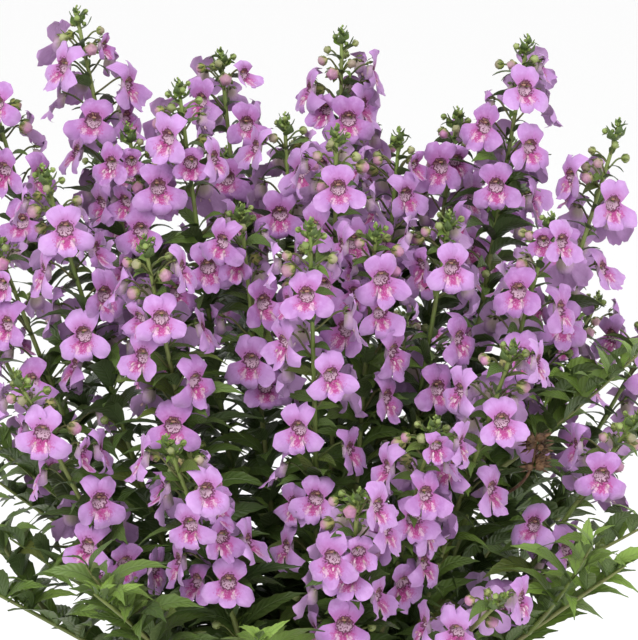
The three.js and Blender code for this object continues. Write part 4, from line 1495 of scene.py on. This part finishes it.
def soil_paint():
    """Dark peat: fibres and crumbs, some of them paler bark."""
    paint = Paint("potting_soil", 0.95)
    place = paint.place()
    crumb = paint.noise(place, 420.0, 4.0)
    plain = paint.blend(crumb, "peat", "pale peat")
    paint.colour(paint.over(plain, "bark", paint.noise(place, 60.0, 3.0), 0.55, 0.75, 0.6))
    paint.bump(crumb, 0.9, 0.0012)
    return paint.material


POT_SIDES = 120
SOIL_RINGS = 34
SOIL_SIDES = 120
CRUMBS = 300


def lathe(name, profile, sides, material):
    """A closed turned piece, whose profile of (radius, height) runs from the axis and back to it."""
    angles = np.linspace(0, 2 * math.pi, sides, endpoint=False)
    rings = [[(0, 0, z)] if radius == 0 else [(radius * math.cos(a), radius * math.sin(a), z) for a in angles]
             for radius, z in profile]
    points = np.array([point for ring in rings for point in ring]) * MM
    faces, start = [], 0
    for lower, upper in zip(rings, rings[1:]):
        after = start + len(lower)
        for i in range(sides):
            j = (i + 1) % sides
            if len(lower) == 1:
                faces.append((start, after + i, after + j)[::-1])
            elif len(upper) == 1:
                faces.append((start + i, start + j, after))
            else:
                faces.append((start + i, start + j, after + j, after + i))
        start = after
    mesh = bpy.data.meshes.new(name)
    mesh.from_pydata(points.tolist(), [], faces)
    mesh.materials.append(material)
    mesh.update()
    return link(name, mesh)


def rounded(corners):
    """A profile whose corners (radius, height, rounding) are each turned by a short arc."""
    path = [corners[0][:2]]
    for before, (x, z, size), after in zip(corners, corners[1:], corners[2:]):
        here = np.array((x, z, 0.0))
        ways = [np.array((*end[:2], 0.0)) - here for end in (before, after)]
        if not size:
            path.append((x, z))
            continue
        start, end = (here + way / np.linalg.norm(way) * size for way in ways)
        path += [tuple(point[:2]) for point in bezier([start, here, end], 5)]
    path.append(corners[-1][:2])
    return path


def make_pot():
    def outer(z):
        return inner_radius(z) + POT_WALL

    rim_foot = POT_HEIGHT - RIM_HEIGHT
    pot = lathe("flower_pot", rounded([
        (0, 0, 0), (outer(0), 0, 2.2), (outer(rim_foot), rim_foot, 0.6),
        (POT_RIM_RADIUS - 0.8, rim_foot + 1, 0.8),
        (POT_RIM_RADIUS, POT_HEIGHT, 1.5), (inner_radius(POT_HEIGHT), POT_HEIGHT, 0.9),
        (inner_radius(POT_FLOOR), POT_FLOOR, 2.0), (0, POT_FLOOR, 0),
    ]), POT_SIDES, pot_paint())
    for i in range(DRAIN_COUNT):
        x, y, _ = level(45 + 360 / DRAIN_COUNT * i)
        bpy.ops.mesh.primitive_cylinder_add(
            vertices=32, radius=DRAIN_RADIUS * MM, depth=20 * MM,
            location=(x * DRAIN_RING * MM, y * DRAIN_RING * MM, 0))
        drill = bpy.context.object
        cut = pot.modifiers.new("drain", "BOOLEAN")
        cut.operation = "DIFFERENCE"
        cut.object = drill
        finished = bpy.data.meshes.new_from_object(pot.evaluated_get(bpy.context.evaluated_depsgraph_get()))
        pot.modifiers.clear()
        pot.data = finished
        bpy.data.objects.remove(drill)
    smooth_by_angle(pot, 35)
    return pot


def smooth_by_angle(piece, angle):
    """Smooth faces whose edges stay sharp where they turn by more than an angle."""
    mesh = piece.data
    mesh.shade_smooth()
    mesh.set_sharp_from_angle(angle=math.radians(angle))


def make_soil():
    """The filled soil, level at the rim's foot and rough on top, with loose crumbs of peat."""
    side = SOIL_LEVEL - SOIL_CROWN
    sheaf = Sheaf("peaty_soil", [soil_paint()])
    top = inner_radius(side) - SOIL_GAP
    angles = np.linspace(0, 2 * math.pi, SOIL_SIDES + 1)
    rows = []
    for share in np.linspace(0.0, 1.0, SOIL_RINGS) ** 0.8:
        reach = top * share
        x, y = reach * np.cos(angles), reach * np.sin(angles)
        rough = 0.55 * np.sin(0.31 * x + 1.3) * np.sin(0.27 * y) + 0.3 * np.sin(0.83 * x - 0.6 * y)
        rough = rough + 0.22 * np.sin(1.7 * x + 0.9 * y) * np.sin(1.3 * y - 0.4 * x)
        height = SOIL_LEVEL - 1.6 + rough - SOIL_CROWN * np.maximum(0, share - 0.86) / 0.14 * 0.6
        rows.append(np.stack([x, y, height], -1))
    for z in (side - 20, POT_FLOOR + SOIL_GAP):
        reach = inner_radius(z) - SOIL_GAP
        rows.append(np.stack([reach * np.cos(angles), reach * np.sin(angles), np.full(len(angles), z)], -1))
    rows.append(np.stack([0 * angles, 0 * angles, np.full(len(angles), POT_FLOOR + SOIL_GAP)], -1))
    grid = np.array(rows)
    shares = np.meshgrid(np.linspace(0, 1, len(angles)), np.linspace(0, 1, len(rows)))
    uv = np.stack(shares, -1).reshape(-1, 2)
    faces = grid_triangles(len(rows), len(angles), False)
    sheaf.add(Form(grid.reshape(-1, 3), faces, uv, uv, SOIL_ON_MAP), 0.5)
    for i in range(CRUMBS):
        reach = (top - 2) * math.sqrt(draw(61, i))
        x, y, _ = level(360 * draw(62, i))
        size = 0.5 + 1.5 * draw(63, i) ** 2
        axis = unit((draw(64, i) - 0.5, draw(65, i) - 0.5, 0.6 * draw(66, i) + 0.01))
        centre = (x * reach, y * reach, SOIL_LEVEL - 1.7 + 0.25 * size)
        sheaf.add(lump(centre, axis, 2.6 * size, 0.8 * size, 0, 0.0, 6, 5, 0.15), draw(67, i))
    return sheaf.build()


for piece, node, slot in ((make_pot(), "pot", "pot_plastic"), (make_soil(), "potting_soil", "potting_soil")):
    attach(piece, "root")
    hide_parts(node)


# Stage, light and camera

bpy.ops.mesh.primitive_plane_add(size=20)
floor = bpy.context.object
floor.name = "floor"
floor_paint = Paint("floor_white", 0.9)
floor_paint.colour("floor white")
floor.data.materials.append(floor_paint.material)

LIGHT_AIM = Vector((0, 0, 0.3))

world = scene.world or bpy.data.worlds.new("studio")
scene.world = world
world.use_nodes = True
sky = world.node_tree.nodes["Background"]
sky.inputs["Color"].default_value = (1.0, 1.0, 1.0, 1.0)
sky.inputs["Strength"].default_value = 1.0


def soft_box(name, at, size, power):
    light = bpy.data.lights.new(name, "AREA")
    light.shape = "SQUARE"
    light.size = size
    light.energy = power
    holder = link(name, light)
    holder.location = at
    holder.rotation_euler = (LIGHT_AIM - Vector(at)).to_track_quat("-Z", "Y").to_euler()


soft_box("key_light", at=(-0.9, -1.6, 1.7), size=1.2, power=24)
soft_box("fill_light", at=(1.5, -1.3, 0.9), size=1.4, power=9)

VIEW_CENTRE = (0, 0, 310 * MM)
VIEW_DISTANCE = 2.2
VIEW_LIFT = 7
FRAME_WIDTH = 638
MM_PER_PIXEL = 0.47
VIEW_WIDTH = FRAME_WIDTH * MM_PER_PIXEL * MM
camera_data = bpy.data.cameras.new("camera")
camera_data.sensor_width = 36
camera_data.lens = camera_data.sensor_width * VIEW_DISTANCE / VIEW_WIDTH
camera_data.clip_end = 60
camera = link("camera", camera_data)
lift = math.radians(VIEW_LIFT)
camera.location = (0, -VIEW_DISTANCE * math.cos(lift), VIEW_CENTRE[2] + VIEW_DISTANCE * math.sin(lift))
camera.rotation_euler = (math.pi / 2 - lift, 0, 0)
bpy.context.scene.camera = camera
scene.view_settings.view_transform = "Standard"
